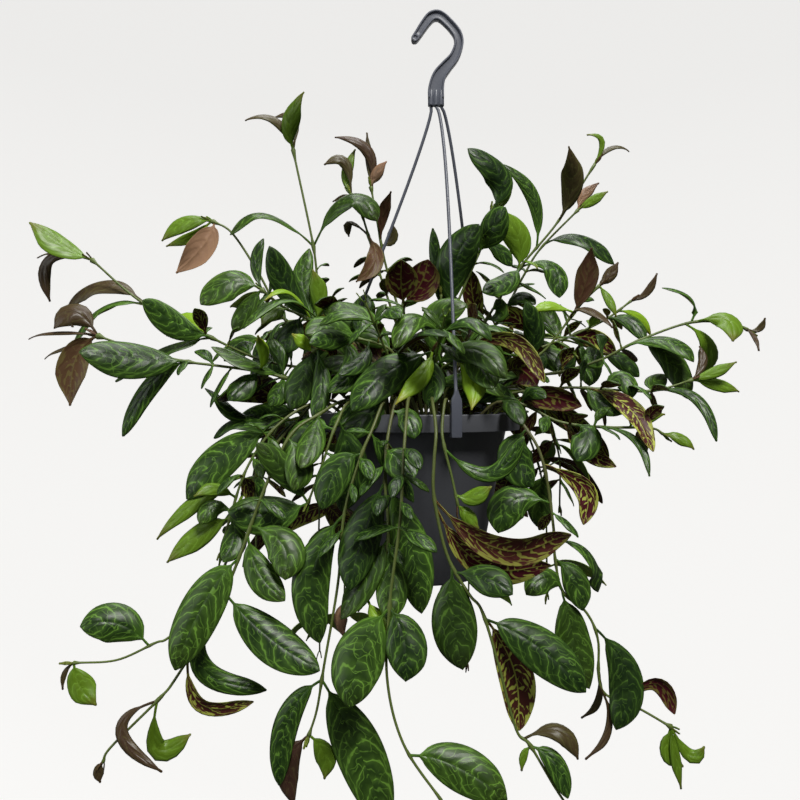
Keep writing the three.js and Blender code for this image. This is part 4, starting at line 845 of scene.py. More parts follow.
# A skin is laid flat on cards up to this long, with this much room between them, on a sheet with some spare
LONGEST_CARD = 70
LEAST_CARD = 0.5
CARD_MARGIN = 1.2
SHEET_SPARE = 1.06


class Shape:
    """Closed skins of one mesh, with what its materials and its baked map read from them."""

    def __init__(self):
        self.points, self.looks, self.plans, self.tones = [], [], [], []
        self.corners, self.sizes, self.slots, self.cards, self.flat = [], [], [], [], []
        self.card_sizes = []
        self.count = 0

    def skin(self, rings, start, end, strips, plan=None, look=(0, 0, 0), tone=0.5):
        """Skins rings of points, from the point start to the point end.

        A strip is its first and last column, its material slot, and how far across it each column is.
        """
        rows, columns = rings.shape[:2]
        index = self.count + np.arange(rows * columns).reshape(rows, columns)
        index = np.hstack([index, index[:, :1]])
        starting = self.count + rows * columns
        ending = starting + 1
        self.points += [rings.reshape(-1, 3), [start, end]]
        looks = np.broadcast_to(look, (rows, columns, 3))
        self.looks += [looks.reshape(-1, 3), [looks[0, 0], looks[-1, 0]]]
        self.tones.append(np.full(rows * columns + 2, tone))
        plan = np.zeros((rows, columns, 2)) if plan is None else plan
        self.plans += [plan.reshape(-1, 2), [plan[0].mean(0), plan[-1].mean(0)]]
        self.count = ending + 1
        middles = np.vstack([start, rings.mean(axis=1), end])
        along = distances_along(middles)
        for first, last, slot, across in strips:
            across = np.asarray(across, float)
            row = 0
            while row < rows - 1:
                reach = np.searchsorted(along[1:-1], along[row + 1] + LONGEST_CARD)
                stop = int(np.clip(reach, row + 1, rows - 1))
                low = along[0] if row == 0 else along[row + 1]
                high = along[-1] if stop == rows - 1 else along[stop + 1]
                card = len(self.card_sizes)
                self.card_sizes.append((max(high - low, LEAST_CARD), max(np.ptp(across), LEAST_CARD)))
                block = index[row : stop + 1, first : last + 1]
                places = np.stack(
                    np.meshgrid(along[row + 1 : stop + 2] - low, across - across.min(), indexing="ij"), -1
                )
                middle = np.ptp(across) / 2
                self.faces(quads_of(block), quads_of(places), slot, card)
                if row == 0:
                    self.fan(starting, block[0][::-1], (0, middle), places[0][::-1], slot, card)
                if stop == rows - 1:
                    self.fan(ending, block[-1], (high - low, middle), places[-1], slot, card)
                row = stop

    def fan(self, centre, rim, centre_place, places, slot, card):
        """Closes a skin with triangles from its end point to its last ring."""
        count = len(rim) - 1
        corners = np.stack([np.full(count, centre), rim[:-1], rim[1:]], 1)
        flat = np.stack([np.tile(centre_place, (count, 1)), places[:-1], places[1:]], 1)
        self.faces(corners, flat, slot, card)

    def faces(self, corners, flat, slot, card):
        count, size = corners.shape
        self.corners.append(corners.reshape(-1))
        self.flat.append(flat.reshape(-1, 2))
        self.cards.append(np.full(count * size, card))
        self.sizes.append(np.full(count, size))
        self.slots.append(np.full(count, slot))

    def mesh(self, name, materials):
        """The mesh of all the skins, in metres."""
        points = np.concatenate(self.points)
        corners = np.concatenate(self.corners)
        sizes = np.concatenate(self.sizes)
        plans = np.concatenate(self.plans)[corners]
        looks, tones = np.concatenate(self.looks), np.concatenate(self.tones)
        mesh = bpy.data.meshes.new(name)
        mesh.vertices.add(len(points))
        mesh.loops.add(len(corners))
        mesh.polygons.add(len(sizes))
        for material in materials:
            mesh.materials.append(material)
        # A new layer moves those before it, so each is filled before the next is made
        store(mesh.vertices, "co", points * MM)
        store(mesh.loops, "vertex_index", corners, np.int32)
        store(mesh.polygons, "loop_start", np.cumsum(sizes) - sizes, np.int32)
        store(mesh.polygons, "material_index", np.concatenate(self.slots), np.int32)
        store(mesh.uv_layers.new(name="Plan").data, "uv", plans)
        store(mesh.uv_layers.new(name="OFBake").data, "uv", self.unfolded())
        store(mesh.attributes.new("look", "FLOAT_VECTOR", "POINT").data, "vector", looks)
        store(mesh.attributes.new("tone", "FLOAT", "POINT").data, "value", tones)
        mesh.update(calc_edges=True)
        mesh.shade_smooth()
        return mesh

    def unfolded(self):
        """The corners' places on the cards, with the cards set out on shelves in a square."""
        sizes = np.array(self.card_sizes) + CARD_MARGIN
        side = max(math.sqrt(sizes.prod(axis=1).sum()) * SHEET_SPARE, sizes[:, 0].max())
        origins = np.zeros_like(sizes)
        across, down, shelf = 0.0, 0.0, 0.0
        for card in np.argsort(-sizes[:, 1], kind="stable"):
            width, height = sizes[card]
            if across + width > side:
                across, down, shelf = 0.0, down + shelf, 0.0
            origins[card] = across, down
            across += width
            shelf = max(shelf, height)
        side = max(side, down + shelf)
        cards = np.concatenate(self.cards)
        return (origins[cards] + np.concatenate(self.flat) + CARD_MARGIN / 2) / side


def store(holder, what, values, kind=np.float32):
    holder.foreach_set(what, values.reshape(-1).astype(kind))


def quads_of(grid):
    quads = np.stack([grid[:-1, :-1], grid[:-1, 1:], grid[1:, 1:], grid[1:, :-1]], 2)
    return quads.reshape(-1, 4, *grid.shape[2:])


def rings_at(points, sides, lifts, outline):
    """An outline of places across and up, or one for each point, set on the frames of a curve."""
    outline = np.broadcast_to(outline, (len(points), *np.shape(outline)[-2:]))
    return (
        points[:, None]
        + sides[:, None] * outline[..., :1]
        + lifts[:, None] * outline[..., 1:]
    )


def circle(sides):
    angles = 2 * math.pi * np.arange(sides) / sides
    return np.stack([np.cos(angles), np.sin(angles)], 1)


def place_piece(name, mesh, slot, *nodes):
    """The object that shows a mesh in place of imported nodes."""
    piece = bpy.data.objects.new(name, mesh)
    bpy.context.scene.collection.objects.link(piece)
    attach(piece, "root")
    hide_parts(*nodes)
    return piece


# Leaves and stems

# How far out a blade's columns are, as shares of its half width, for blades over a width in millimetres
HALF_COLUMNS = {
    17: [0, 0.05, 0.14, 0.28, 0.44, 0.6, 0.76, 0.89, 0.97, 1],
    9: [0, 0.07, 0.22, 0.45, 0.68, 0.87, 1],
    0: [0, 0.12, 0.45, 0.82, 1],
}
BLADE_STEP = 2.3
BLADE_ROWS = (10, 36)
ROW_CROWDING = 0.35
EDGE_ROUNDNESS = 4
# The least half width of a blade, in radii of its stalk
LEAST_HALF = 0.9
# Where the stalk widens to the blade, and how a leaf that isn't grown narrows to its tip
STALK_END = (0.05, 0.17)
YOUNG_WIDTH = 2.6
YOUNG_POINT = 0.9
# The blade's form across: one side wider, both arched, waved, and rolled down at the edge
LOPSIDED = 0.05
ARCH_POWER = 1.7
ROLL, ROLL_POWER = -0.10, 5
WAVE_HEIGHT = (0.012, 0.035)
WAVE_BEATS = (1.4, 2.4)
# The groove over the midrib and the ridge under it, which end before the tip
GROOVE_WIDTH = 0.9
RIDGE_WIDTH = 0.75
GROOVE_END = 0.78
# How a leaf turns: down along a radius from a share of its midrib on, and aside in degrees
TURN_BEGIN = 0.78
TURN_RADIUS = (0.38, 1.1)
TWIST = (-7, 7)
TWIST_BEGIN = 0.2
SEATED_SHARE = 0.25
START_POINT = 0.3
TIP_POINT = 0.5
# The plan that veins are drawn by: the length of its cells, and how far along it a leaf may start
CELL_LENGTH = 11.5
LEAST_CELLS = 3
PLAN_STARTS = 60
STEM_FINE_STEP = 4.0
LEAST_STEM_STEPS = 6
STEM_FINE_SIDES = 8
STEM_FINE_RADII = (1.15, 0.75)
STEM_YOUTH = 1.5
NODE_LENGTH = 2.4
BUD_LENGTH = (6, 10)
BUD_WIDTH = 0.27
BUD_SUNK = 0.5
BUD_TURN = (-1.5, 1.5)
BUD_SPREAD = (0.15, 0.45)
BUD_BEND = 0.3
BUD_BRONZE = 0.4
# How far the line that a stem's sides are measured from leans, so that it is never along the stem
LEANING_UP = UP + 0.01 * ACROSS
UPPER, UNDER, STEM = 0, 1, 2
YOUTH_RANGE = (-0.06, 0.06)
REDNESS_RANGE = (0.8, 1)
YOUTH = {"mature": 0.0, "half": 0.45, "lime": 1.0, "bronze": 0.3, "pink": 0.8}
REDNESS = {"mature": 0.0, "half": 0.0, "lime": 0.0, "bronze": 1.0, "pink": 1.0}


def fine_stem(line, leaves, swelling):
    """Points, frames and radii of the smooth stem."""
    steps = max(LEAST_STEM_STEPS, round(line["length"] / STEM_FINE_STEP))
    spots = np.arange(steps + 1) / steps

    def curve(places):
        return spline(line["controls"], places)

    directions = headings(curve, spots)
    directions[0] = UP
    points = np.vstack([line["points"][0], curve(spots)])
    sides, lifts = frames_along(np.vstack([UP, directions]), ACROSS)
    radii = mixed(*STEM_FINE_RADII, np.maximum(0, np.arange(steps + 2) - 1) / steps)
    for leaf in leaves:
        away = np.linalg.norm(points - leaf["base"], axis=1)
        radii = radii + swelling * np.exp(-((away / NODE_LENGTH) ** 2))
    return points, sides, lifts, radii


def add_stem(shape, line, leaves, sizes, brown):
    """A round stem, swollen where its leaves join it. Gives back the points of its line."""
    points, sides, lifts, radii = fine_stem(line, leaves, sizes["joint_swelling"])
    outline = circle(STEM_FINE_SIDES) * radii[:, None, None]
    rings = rings_at(points, sides, lifts, outline)
    count = len(points)
    along = np.linspace(0, 1, count)
    look = np.zeros((count, STEM_FINE_SIDES, 3))
    look[..., 0] = (along**STEM_YOUTH)[:, None]
    look[..., 1] = brown
    look[..., 2] = along[:, None]
    tip = points[-1] + unit(points[-1] - points[-2]) * radii[-1]
    girth = 2 * math.pi * radii.mean() * np.arange(STEM_FINE_SIDES + 1) / STEM_FINE_SIDES
    shape.skin(rings, points[0], tip, [(0, STEM_FINE_SIDES, STEM, girth)], look=look)
    return points


def turned_frames(leaf, u, length, radius):
    """The midrib's points and frames, with its end turned down on a radius, a share of its length."""
    points, sides, lifts = blade_frames(leaf, np.minimum(u, TURN_BEGIN), leaf["roll"])
    along = np.cross(sides, lifts)
    turn = (np.maximum(u - TURN_BEGIN, 0) / radius)[:, None]
    points = points + (along * np.sin(turn) - lifts * (1 - np.cos(turn))) * radius * length
    return points, sides, lifts * np.cos(turn) + along * np.sin(turn)


def add_leaf(shape, leaf, stem_points, sizes, random):
    """A blade with a groove over its midrib, rolled edges, and a tip that turns under."""
    length = np.linalg.norm(leaf["tip"] - leaf["base"])
    rows = int(np.clip(round(length / BLADE_STEP), *BLADE_ROWS))
    u = np.linspace(0, 1, rows + 1)
    u = u - ROW_CROWDING * np.sin(2 * math.pi * u) / (2 * math.pi)
    points, sides, lifts = turned_frames(leaf, u, length, random.uniform(*TURN_RADIUS))
    width = leaf["width"]
    columns = np.array(next(shares for over, shares in HALF_COLUMNS.items() if width > over))
    over = np.concatenate([columns[::-1], -columns[1:]])
    v = np.concatenate([over, over[-2:0:-1]])
    top = np.concatenate([np.ones(len(over)), -np.ones(len(over) - 2)])
    turn = np.arccos(np.clip(v, -1, 1)) * top
    full = fullness_at(u)
    if leaf["age"] != "mature":
        full = np.minimum(full, YOUNG_WIDTH * (1 - u) ** YOUNG_POINT)
    stalk = sizes["stalk_radius"]
    half = np.maximum(width / 2 * full, LEAST_HALF * stalk)
    blade = eased(*STALK_END, u)[:, None]
    lean = 1 + random.uniform(-LOPSIDED, LOPSIDED) * np.sign(v)
    wave = random.uniform(*WAVE_HEIGHT) * width
    phase, beat = random.uniform(0, 1, 2), random.uniform(*WAVE_BEATS, 2)
    side_wave = np.where(v > 0, 0, 1)
    waving = wave * np.sin(2 * math.pi * (beat[side_wave] * u[:, None] + phase[side_wave]))
    arch = -CUP * half[:, None] * np.abs(v) ** ARCH_POWER
    rolled = ROLL * half[:, None] * np.abs(v) ** ROLL_POWER
    across = half[:, None] * v * lean
    groove = -sizes["groove_depth"] * np.exp(-((across / GROOVE_WIDTH) ** 2))
    ridge = -sizes["groove_depth"] * np.exp(-((across / RIDGE_WIDTH) ** 2))
    spine = (1 - eased(GROOVE_END, 1, u))[:, None]
    thick = sizes["blade_thickness"] / 2 * np.sqrt(np.clip(1 - np.abs(v) ** EDGE_ROUNDNESS, 0, 1))
    rise = arch + rolled + waving * v**2 + np.where(top > 0, thick + groove * spine, -thick + ridge * spine)
    across = mixed(np.cos(turn) * stalk, across, blade)
    rise = mixed(np.sin(turn) * stalk, rise, blade)
    near = stem_points[np.argmin(np.linalg.norm(stem_points - leaf["base"], axis=1))]
    points = points + (near - leaf["base"]) * (1 - eased(0, SEATED_SHARE, u))[:, None]
    twist = np.radians(random.uniform(*TWIST)) * eased(TWIST_BEGIN, 1, u)[:, None]
    sides, lifts = (
        sides * np.cos(twist) + lifts * np.sin(twist),
        lifts * np.cos(twist) - sides * np.sin(twist),
    )
    rings = rings_at(points, sides, lifts, np.stack([across, rise], -1))
    cells = max(LEAST_CELLS, round(length / CELL_LENGTH))
    plan = np.zeros((*rings.shape[:2], 2))
    plan[..., 0] = (u * cells + int(random.integers(0, PLAN_STARTS)))[:, None]
    plan[..., 1] = (v + 1) / 2
    look = np.zeros(rings.shape)
    look[..., 0] = np.clip(YOUTH[leaf["age"]] + random.uniform(*YOUTH_RANGE), 0, 1)
    look[..., 1] = REDNESS[leaf["age"]] * random.uniform(*REDNESS_RANGE)
    look[..., 2] = u[:, None]
    last = len(over) - 1
    spread = (over + 1) * width / 2
    tip = points[-1] + unit(points[-1] - points[-2]) * TIP_POINT
    start = points[0] - unit(points[1] - points[0]) * START_POINT
    shape.skin(
        rings, start, tip,
        [(0, last, UPPER, spread), (last, 2 * last, UNDER, spread[::-1])],
        plan, look, random.uniform(0, 1),
    )


def add_tip(shape, points, sizes, random):
    """The folded pair of leaves that a stem ends in."""
    along = unit(points[-1] - points[-2])
    across = unit(np.cross(along, LEANING_UP))
    across = unit(across + np.cross(along, across) * random.uniform(*BUD_TURN))
    age = "bronze" if random.uniform(0, 1) < BUD_BRONZE else "half"
    for hand in (-1, 1):
        length = random.uniform(*BUD_LENGTH)
        base = points[-1] - along * BUD_SUNK
        heading = unit(along + across * hand * random.uniform(*BUD_SPREAD))
        add_leaf(shape, {
            "base": base,
            "middle": base + heading * length * 0.5,
            "tip": base + unit(heading + along * BUD_BEND) * length,
            "width": length * BUD_WIDTH,
            "face": -across * hand,
            "age": age,
            "roll": 0,
        }, points, sizes, random)


# Small leaves

BUSH_MIDDLE = RIM_CENTRE + 12 * UP
BUSH_REACH = np.array([175.0, 175.0, 115.0])
# Where there are no small leaves, nearer than a plane before the pot's axis: across and above its rim
FRONT_PLANE = -12
FRONT_LEAVES = (84, -10, 46)
BARE_POT = (-10, 84, -10)
# Pairs along a stem: how far up it the first is, the step between them, and how far from its end they stop
SPROUT_FIRST = (18, 34)
SPROUT_STEP = 16.0
SPROUT_LAST = 4
SPROUT_ROOM = 4.0
SPROUT_TRIES = 7
SPROUT_LENGTH = (15, 32)
SPROUT_WIDTH = (0.34, 0.42)
SPROUT_TURN = 0.8
SPROUT_FORWARD = (0.1, 0.7)
SPROUT_RISE = (-0.3, 0.2)
SPROUT_ARCH = 0.05
SPROUT_REACH = 0.95
SPROUT_FALL = (0.05, 0.3)
SPROUT_OUTWARD = 0.5
SPROUT_SIDE = 0.45
SPROUT_AGES = ["mature"] * 11 + ["half", "half", "lime"]


class Room:
    """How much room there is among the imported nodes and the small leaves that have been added."""

    def __init__(self):
        points, faces = [], []
        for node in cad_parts.values():
            first = len(points)
            points += [vertex.co / MM for vertex in node.data.vertices]
            faces += [[first + corner for corner in face.vertices] for face in node.data.polygons]
        self.tree = BVHTree.FromPolygons(points, faces)
        self.taken = np.zeros((0, 3))

    def holds(self, points):
        if any(self.tree.find_nearest(Vector(point), SPROUT_ROOM)[0] for point in points):
            return False
        if len(self.taken) == 0:
            return True
        away = np.linalg.norm(self.taken[:, None] - points[None], axis=2)
        return away.min() > SPROUT_ROOM

    def take(self, points):
        self.taken = np.vstack([self.taken, points])


def in_bush(point):
    """Whether a small leaf may grow here: in the bush, but not before its front leaves or the bare pot."""
    if np.linalg.norm((point - BUSH_MIDDLE) / BUSH_REACH) > 1:
        return False
    aside, away, height = point - RIM_CENTRE
    front_leaves = abs(aside) < FRONT_LEAVES[0] and FRONT_LEAVES[1] < height < FRONT_LEAVES[2]
    bare_pot = BARE_POT[0] < aside < BARE_POT[1] and height <= BARE_POT[2]
    return away > FRONT_PLANE or not (front_leaves or bare_pot)


def small_leaf(base, along, across, turn, random):
    """A small leaf at a turn round its stem, and points of it that need room."""
    length = random.uniform(*SPROUT_LENGTH)
    angle = turn + random.uniform(-SPROUT_TURN, SPROUT_TURN)
    aside = across * math.cos(angle) + np.cross(along, across) * math.sin(angle)
    heading = unit(
        aside + along * random.uniform(*SPROUT_FORWARD) + UP * random.uniform(*SPROUT_RISE)
    )
    middle = base + heading * length * 0.5 + UP * length * SPROUT_ARCH
    tip = base + heading * length * SPROUT_REACH - UP * length * random.uniform(*SPROUT_FALL)
    face = unit(UP + SPROUT_OUTWARD * unit(base - BUSH_MIDDLE))
    width = length * random.uniform(*SPROUT_WIDTH)
    side = unit(np.cross(face, heading)) * width * SPROUT_SIDE
    leaf = {"base": base, "middle": middle, "tip": tip, "width": width, "face": face, "roll": 0}
    return leaf, np.array([
        mixed(base, middle, 0.75), middle, middle + side, middle - side, mixed(middle, tip, 0.5), tip,
    ])


def add_sprouts(shape, points, room, sizes, random):
    """Pairs of small leaves along a stem, each where it is clear of all else."""
    away = distances_along(points)
    for place in np.arange(random.uniform(*SPROUT_FIRST), away[-1] - SPROUT_LAST, SPROUT_STEP):
        index = int(np.searchsorted(away, place))
        base, along = points[index], unit(points[index] - points[index - 1])
        if not in_bush(base):
            continue
        across = unit(np.cross(along, LEANING_UP))
        turn = random.uniform(0, math.pi)
        for hand in (0, math.pi):
            for _ in range(SPROUT_TRIES):
                leaf, samples = small_leaf(base, along, across, turn + hand, random)
                if room.holds(samples):
                    room.take(samples)
                    age = SPROUT_AGES[int(random.integers(0, len(SPROUT_AGES)))]
                    leaf["age"] = "mature" if base[1] < 0 else age
                    add_leaf(shape, leaf, points, sizes, random)
                    break


def grown_stems():
    stems = [seen_stem(*stem) for stem in GROWTH]
    stems += [trailing_stem(index) for index in range(len(TRAILING_AZIMUTHS))]
    stems += [crown_stem(index) for index in range(len(CROWN_AZIMUTHS))]
    return stems


# Painted shade: on the stems that grow in the shade of others, the newest leaves take an older age, which
# gives them a darker leaf colour and an older leaf's form
PAINTED_SHADE_AGES = {"stem_front_right_short": "half"}
PAINTED_SHADE_AGES.update({f"stem_crown_{index + 1}": "mature" for index in range(len(CROWN_AZIMUTHS))})


def build_leafy(materials, sizes):
    """A piece for each leafy stem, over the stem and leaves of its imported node."""
    room = Room()
    for number, stem in enumerate(grown_stems()):
        random = np.random.default_rng(number + 1)
        line, leaves = stood(stem)
        # Painted shade: young leaves of the shaded stems are given the darker colour of an older leaf
        for leaf in leaves:
            if stem["name"] in PAINTED_SHADE_AGES and leaf["age"] != "mature":
                leaf["age"] = PAINTED_SHADE_AGES[stem["name"]]
        shape = Shape()
        stem_points = add_stem(shape, line, leaves, sizes, random.uniform(0, 1))
        for leaf in leaves:
            add_leaf(shape, leaf, stem_points, sizes, random)
        add_tip(shape, stem_points, sizes, random)
        add_sprouts(shape, stem_points, room, sizes, random)
        mesh = shape.mesh(stem["name"].replace("stem", "leafy"), materials)
        place_piece(mesh.name, mesh, "foliage", stem["name"])


# Pot, soil and hanger

# How much each corner of the pot's profile is rounded, from inside its foot ring out, up and in again
POT_ROUNDS = [0.8, 0.6, 1.6, 0.5, 0.4, 0.5, 0.6, 1.1, 1.0, 2.0, 0, 0]
POT_SHOULDER = 0.985
RIM_THICKNESS = WALL * 1.3
NEAR_AXIS = 0.001
POT_CREASE = 40
DRILL_SIDES = 24
DRILL_REACH = 4
SOIL_SEED = 5
SOIL_RINGS = 44
SOIL_TURNS = 144
SOIL_SUNK = 1.2
# How much a lump of soil may stand out, in heights of a crumb
CRUMB_LIMIT = 2
# What the sums of neighbouring lumps are divided by when they are evened out, around and inwards
EVEN_AROUND = 2.4
EVEN_INWARDS = 1.6
HANGER_CREASE = 38
# Close spots at the start of the hook's line, for its round end, and the first even one after them
ROUND_END_SPOTS = [0, 0.003, 0.008, 0.015, 0.024]
FIRST_EVEN_SPOT = 3
LEAST_ROUND = 0.35
DIMPLE_DEPTH, DIMPLE_PLACE, DIMPLE_WIDTH = 0.6, 3.4, 1.1
RECESS_BEGIN = (5.4, 6.6)
WEB_SLOPE = 0.35
LEAST_WEB = 0.4
HOOK_EDGE_ROUND, HOOK_WEB_ROUND = 0.45, 0.3
# The collar is thick at its sockets, thin between them, a little narrower at its foot, and flatter upwards
COLLAR_THIN = 1.5
COLLAR_EDGE = 0.9
COLLAR_FOOT_SHARE = 0.97
COLLAR_HEIGHTS = [0, 0.4, 2, 4, 6, 8, 9.5, 11, COLLAR_HEIGHT]
COLLAR_DEPTHS = [0.86, 1, 1, 1, 0.98, 0.9, 0.78, 0.62, 0.4]
PLATE_ROUND = 0.7
NOSE_ROUND = 0.5
NOSE_WIDTH, NOSE_TIP_WIDTH = 7.2, 6.6
NOSE_SUNK = 1.0
NOSE_BEVEL = 0.4
NOSE_TIP_LOSS = 0.5


def turned_rings(profile, turns):
    """A profile of radius and height turned round the pot's axis, as one ring of points for each turn."""
    profile = np.asarray(profile, float)
    angles = 2 * math.pi * np.arange(turns + 1) / turns
    rings = np.zeros((turns + 1, len(profile), 3))
    rings[..., 0] = profile[:, 0] * np.cos(angles)[:, None]
    rings[..., 1] = profile[:, 0] * np.sin(angles)[:, None]
    rings[..., 2] = profile[:, 1]
    return rings


def rounded_path(points, radii, steps=4):
    """Corners of a closed path cut to curves that start radii before and after them."""
    points = np.asarray(points, float)
    path = []
    for before, corner, after, radius in zip(np.roll(points, 1, 0), points, np.roll(points, -1, 0), radii):
        if radius == 0:
            path.append(corner)
            continue
        start = corner + unit(before - corner) * radius
        end = corner + unit(after - corner) * radius
        for share in np.linspace(0, 1, steps + 1):
            path.append(mixed(mixed(start, corner, share), mixed(corner, end, share), share))
    return np.array(path)


def welded(name, points, faces, material):
    """A mesh of points in millimetres whose doubled points are joined."""
    mesh = bpy.data.meshes.new(name)
    mesh.from_pydata((np.asarray(points) * MM).tolist(), [], faces)
    work = bmesh.new()
    work.from_mesh(mesh)
    bmesh.ops.remove_doubles(work, verts=work.verts, dist=0.00001)
    bmesh.ops.recalc_face_normals(work, faces=work.faces)
    work.to_mesh(mesh)
    work.free()
    mesh.materials.append(material)
    mesh.shade_smooth()
    return mesh


def drilled(mesh, centres):
    """A mesh with an upright drain hole cut at each centre."""
    outline = circle(DRILL_SIDES) * DRAIN_RADIUS
    count = len(outline)
    work = bmesh.new()
    for centre in centres:
        rings = []
        for height in (-DRILL_REACH, DRILL_REACH):
            corners = np.column_stack([outline, np.full(count, height)]) + centre
            rings.append([work.verts.new(corner * MM) for corner in corners])
        work.faces.new(rings[0][::-1])
        work.faces.new(rings[1])
        for side in range(count):
            ahead = (side + 1) % count
            work.faces.new((rings[0][side], rings[0][ahead], rings[1][ahead], rings[1][side]))
    drills = bpy.data.meshes.new("drills")
    work.to_mesh(drills)
    work.free()
    whole = bpy.data.objects.new("whole", mesh)
    cutter = bpy.data.objects.new("cutter", drills)
    for item in (whole, cutter):
        bpy.context.scene.collection.objects.link(item)
    cut = whole.modifiers.new("holes", "BOOLEAN")
    cut.object = cutter
    cut.operation = "DIFFERENCE"
    cut.solver = "EXACT"
    result = bpy.data.meshes.new_from_object(whole.evaluated_get(bpy.context.evaluated_depsgraph_get()))
    result.name = mesh.name
    for item in (whole, cutter):
        bpy.data.objects.remove(item)
    bpy.data.meshes.remove(mesh)
    bpy.data.meshes.remove(drills)
    return result


def build_pot(material):
    """The pot's wall, floor, foot ring, rim and lip in one skin, with its drain holes cut."""
    floor = FOOT_HEIGHT - POT_HEIGHT
    body_top = RIM_RADIUS - RIM_WIDTH
    profile = rounded_path(
        [
            [BASE_RADIUS - FOOT_WIDTH, floor],
            [BASE_RADIUS - FOOT_WIDTH, -POT_HEIGHT],
            [BASE_RADIUS, -POT_HEIGHT],
            [mixed(BASE_RADIUS, body_top, POT_SHOULDER), -RIM_THICKNESS],
            [RIM_RADIUS - WALL, -RIM_THICKNESS],
            [RIM_RADIUS - WALL, -RIM_HEIGHT],
            [RIM_RADIUS, -RIM_HEIGHT],
            [RIM_RADIUS, 0],
            [body_top - WALL, 0],
            [BASE_RADIUS - WALL, floor + WALL],
            [NEAR_AXIS, floor + WALL],
            [NEAR_AXIS, floor],
        ],
        POT_ROUNDS,
    )
    rings = turned_rings(profile, POT_TURNS)[:-1]
    count = len(profile)
    points = rings.reshape(-1, 3) + RIM_CENTRE
    faces = []
    for turn in range(POT_TURNS):
        here, ahead = turn * count, (turn + 1) % POT_TURNS * count
        for step in range(count):
            after = (step + 1) % count
            faces.append((here + step, ahead + step, ahead + after, here + after))
    mesh = welded("pot_shell", points, faces, material)
    mesh = drilled(mesh, [
        RIM_CENTRE + np.array([DRAIN_CIRCLE * math.cos(angle), DRAIN_CIRCLE * math.sin(angle), floor])
        for angle in 2 * math.pi * np.arange(DRAIN_HOLES) / DRAIN_HOLES
    ])
    mesh.shade_smooth()
    mesh.set_sharp_from_angle(angle=math.radians(POT_CREASE))
    place_piece("pot_shell", mesh, "pot_plastic", "pot")


def build_soil(material, crumb, random):
    """Peat that fills the pot, lumpy on top and smooth where the pot holds it."""
    floor = FOOT_HEIGHT - POT_HEIGHT + WALL
    bottom = BASE_RADIUS - WALL
    top = np.interp(-SOIL_DROP, [floor, 0], [bottom, RIM_RADIUS - RIM_WIDTH - WALL])
    radii = np.linspace(0, top - GAP, SOIL_RINGS)[1:]
    turns = SOIL_TURNS
    angles = 2 * math.pi * np.arange(turns) / turns
    lumps = random.normal(0, crumb, (len(radii), turns))
    for _ in range(2):
        lumps = (lumps + np.roll(lumps, 1, 1) + np.roll(lumps, -1, 1)) / EVEN_AROUND
        lumps[1:] = (lumps[1:] + lumps[:-1]) / EVEN_INWARDS
    lumps = np.clip(lumps, -CRUMB_LIMIT * crumb, CRUMB_LIMIT * crumb)
    lumps[-1] = 0
    surface = -SOIL_DROP - SOIL_SUNK

    def ring(radius, heights):
        return np.stack([radius * np.cos(angles), radius * np.sin(angles), heights + np.zeros(turns)], 1)

    rings = [ring(radius, surface + heights) for radius, heights in zip(radii, lumps)]
    rings.append(ring(bottom - GAP, floor + GAP))
    points = [np.array([[0, 0, surface]]), *rings, np.array([[0, 0, floor + GAP]])]
    points = np.concatenate(points) + RIM_CENTRE
    faces = []
    for turn in range(turns):
        ahead = (turn + 1) % turns
        faces.append((0, 1 + turn, 1 + ahead))
        for row in range(len(rings) - 1):
            low, high = 1 + row * turns, 1 + (row + 1) * turns
            faces.append((low + turn, high + turn, high + ahead, low + ahead))
        last = 1 + (len(rings) - 1) * turns
        faces.append((last + ahead, last + turn, len(points) - 1))
    mesh = welded("peat", points, faces, material)
    place_piece("peat", mesh, "peat", "soil")


def add_bar(shape, points, sides, lifts, outline):
    """A bar of one outline, or one for each point, with flat ends."""
    rings = rings_at(points, sides, lifts, outline)
    first = np.broadcast_to(outline, (len(points), *np.shape(outline)[-2:]))[0]
    girth = distances_along(np.vstack([first, first[:1]]))
    shape.skin(rings, points[0], points[-1], [(0, rings.shape[1], 0, girth)])


def hook_outline(width, recess):
    """The bar's I section, with its corners rounded."""
    outer, thick = width / 2, HOOK_THICKNESS / 2
    inner, web = max(outer - HOOK_RIB, LEAST_WEB), thick - recess
    slope = inner - WEB_SLOPE
    return rounded_path(
        [
            [outer, -thick], [outer, thick], [inner, thick], [slope, web],
            [-slope, web], [-inner, thick], [-outer, thick], [-outer, -thick],
            [-inner, -thick], [-slope, -web], [slope, -web], [inner, -thick],
        ],
        ([HOOK_EDGE_ROUND] * 2 + [HOOK_WEB_ROUND] * 4) * 2,
        2,
    )


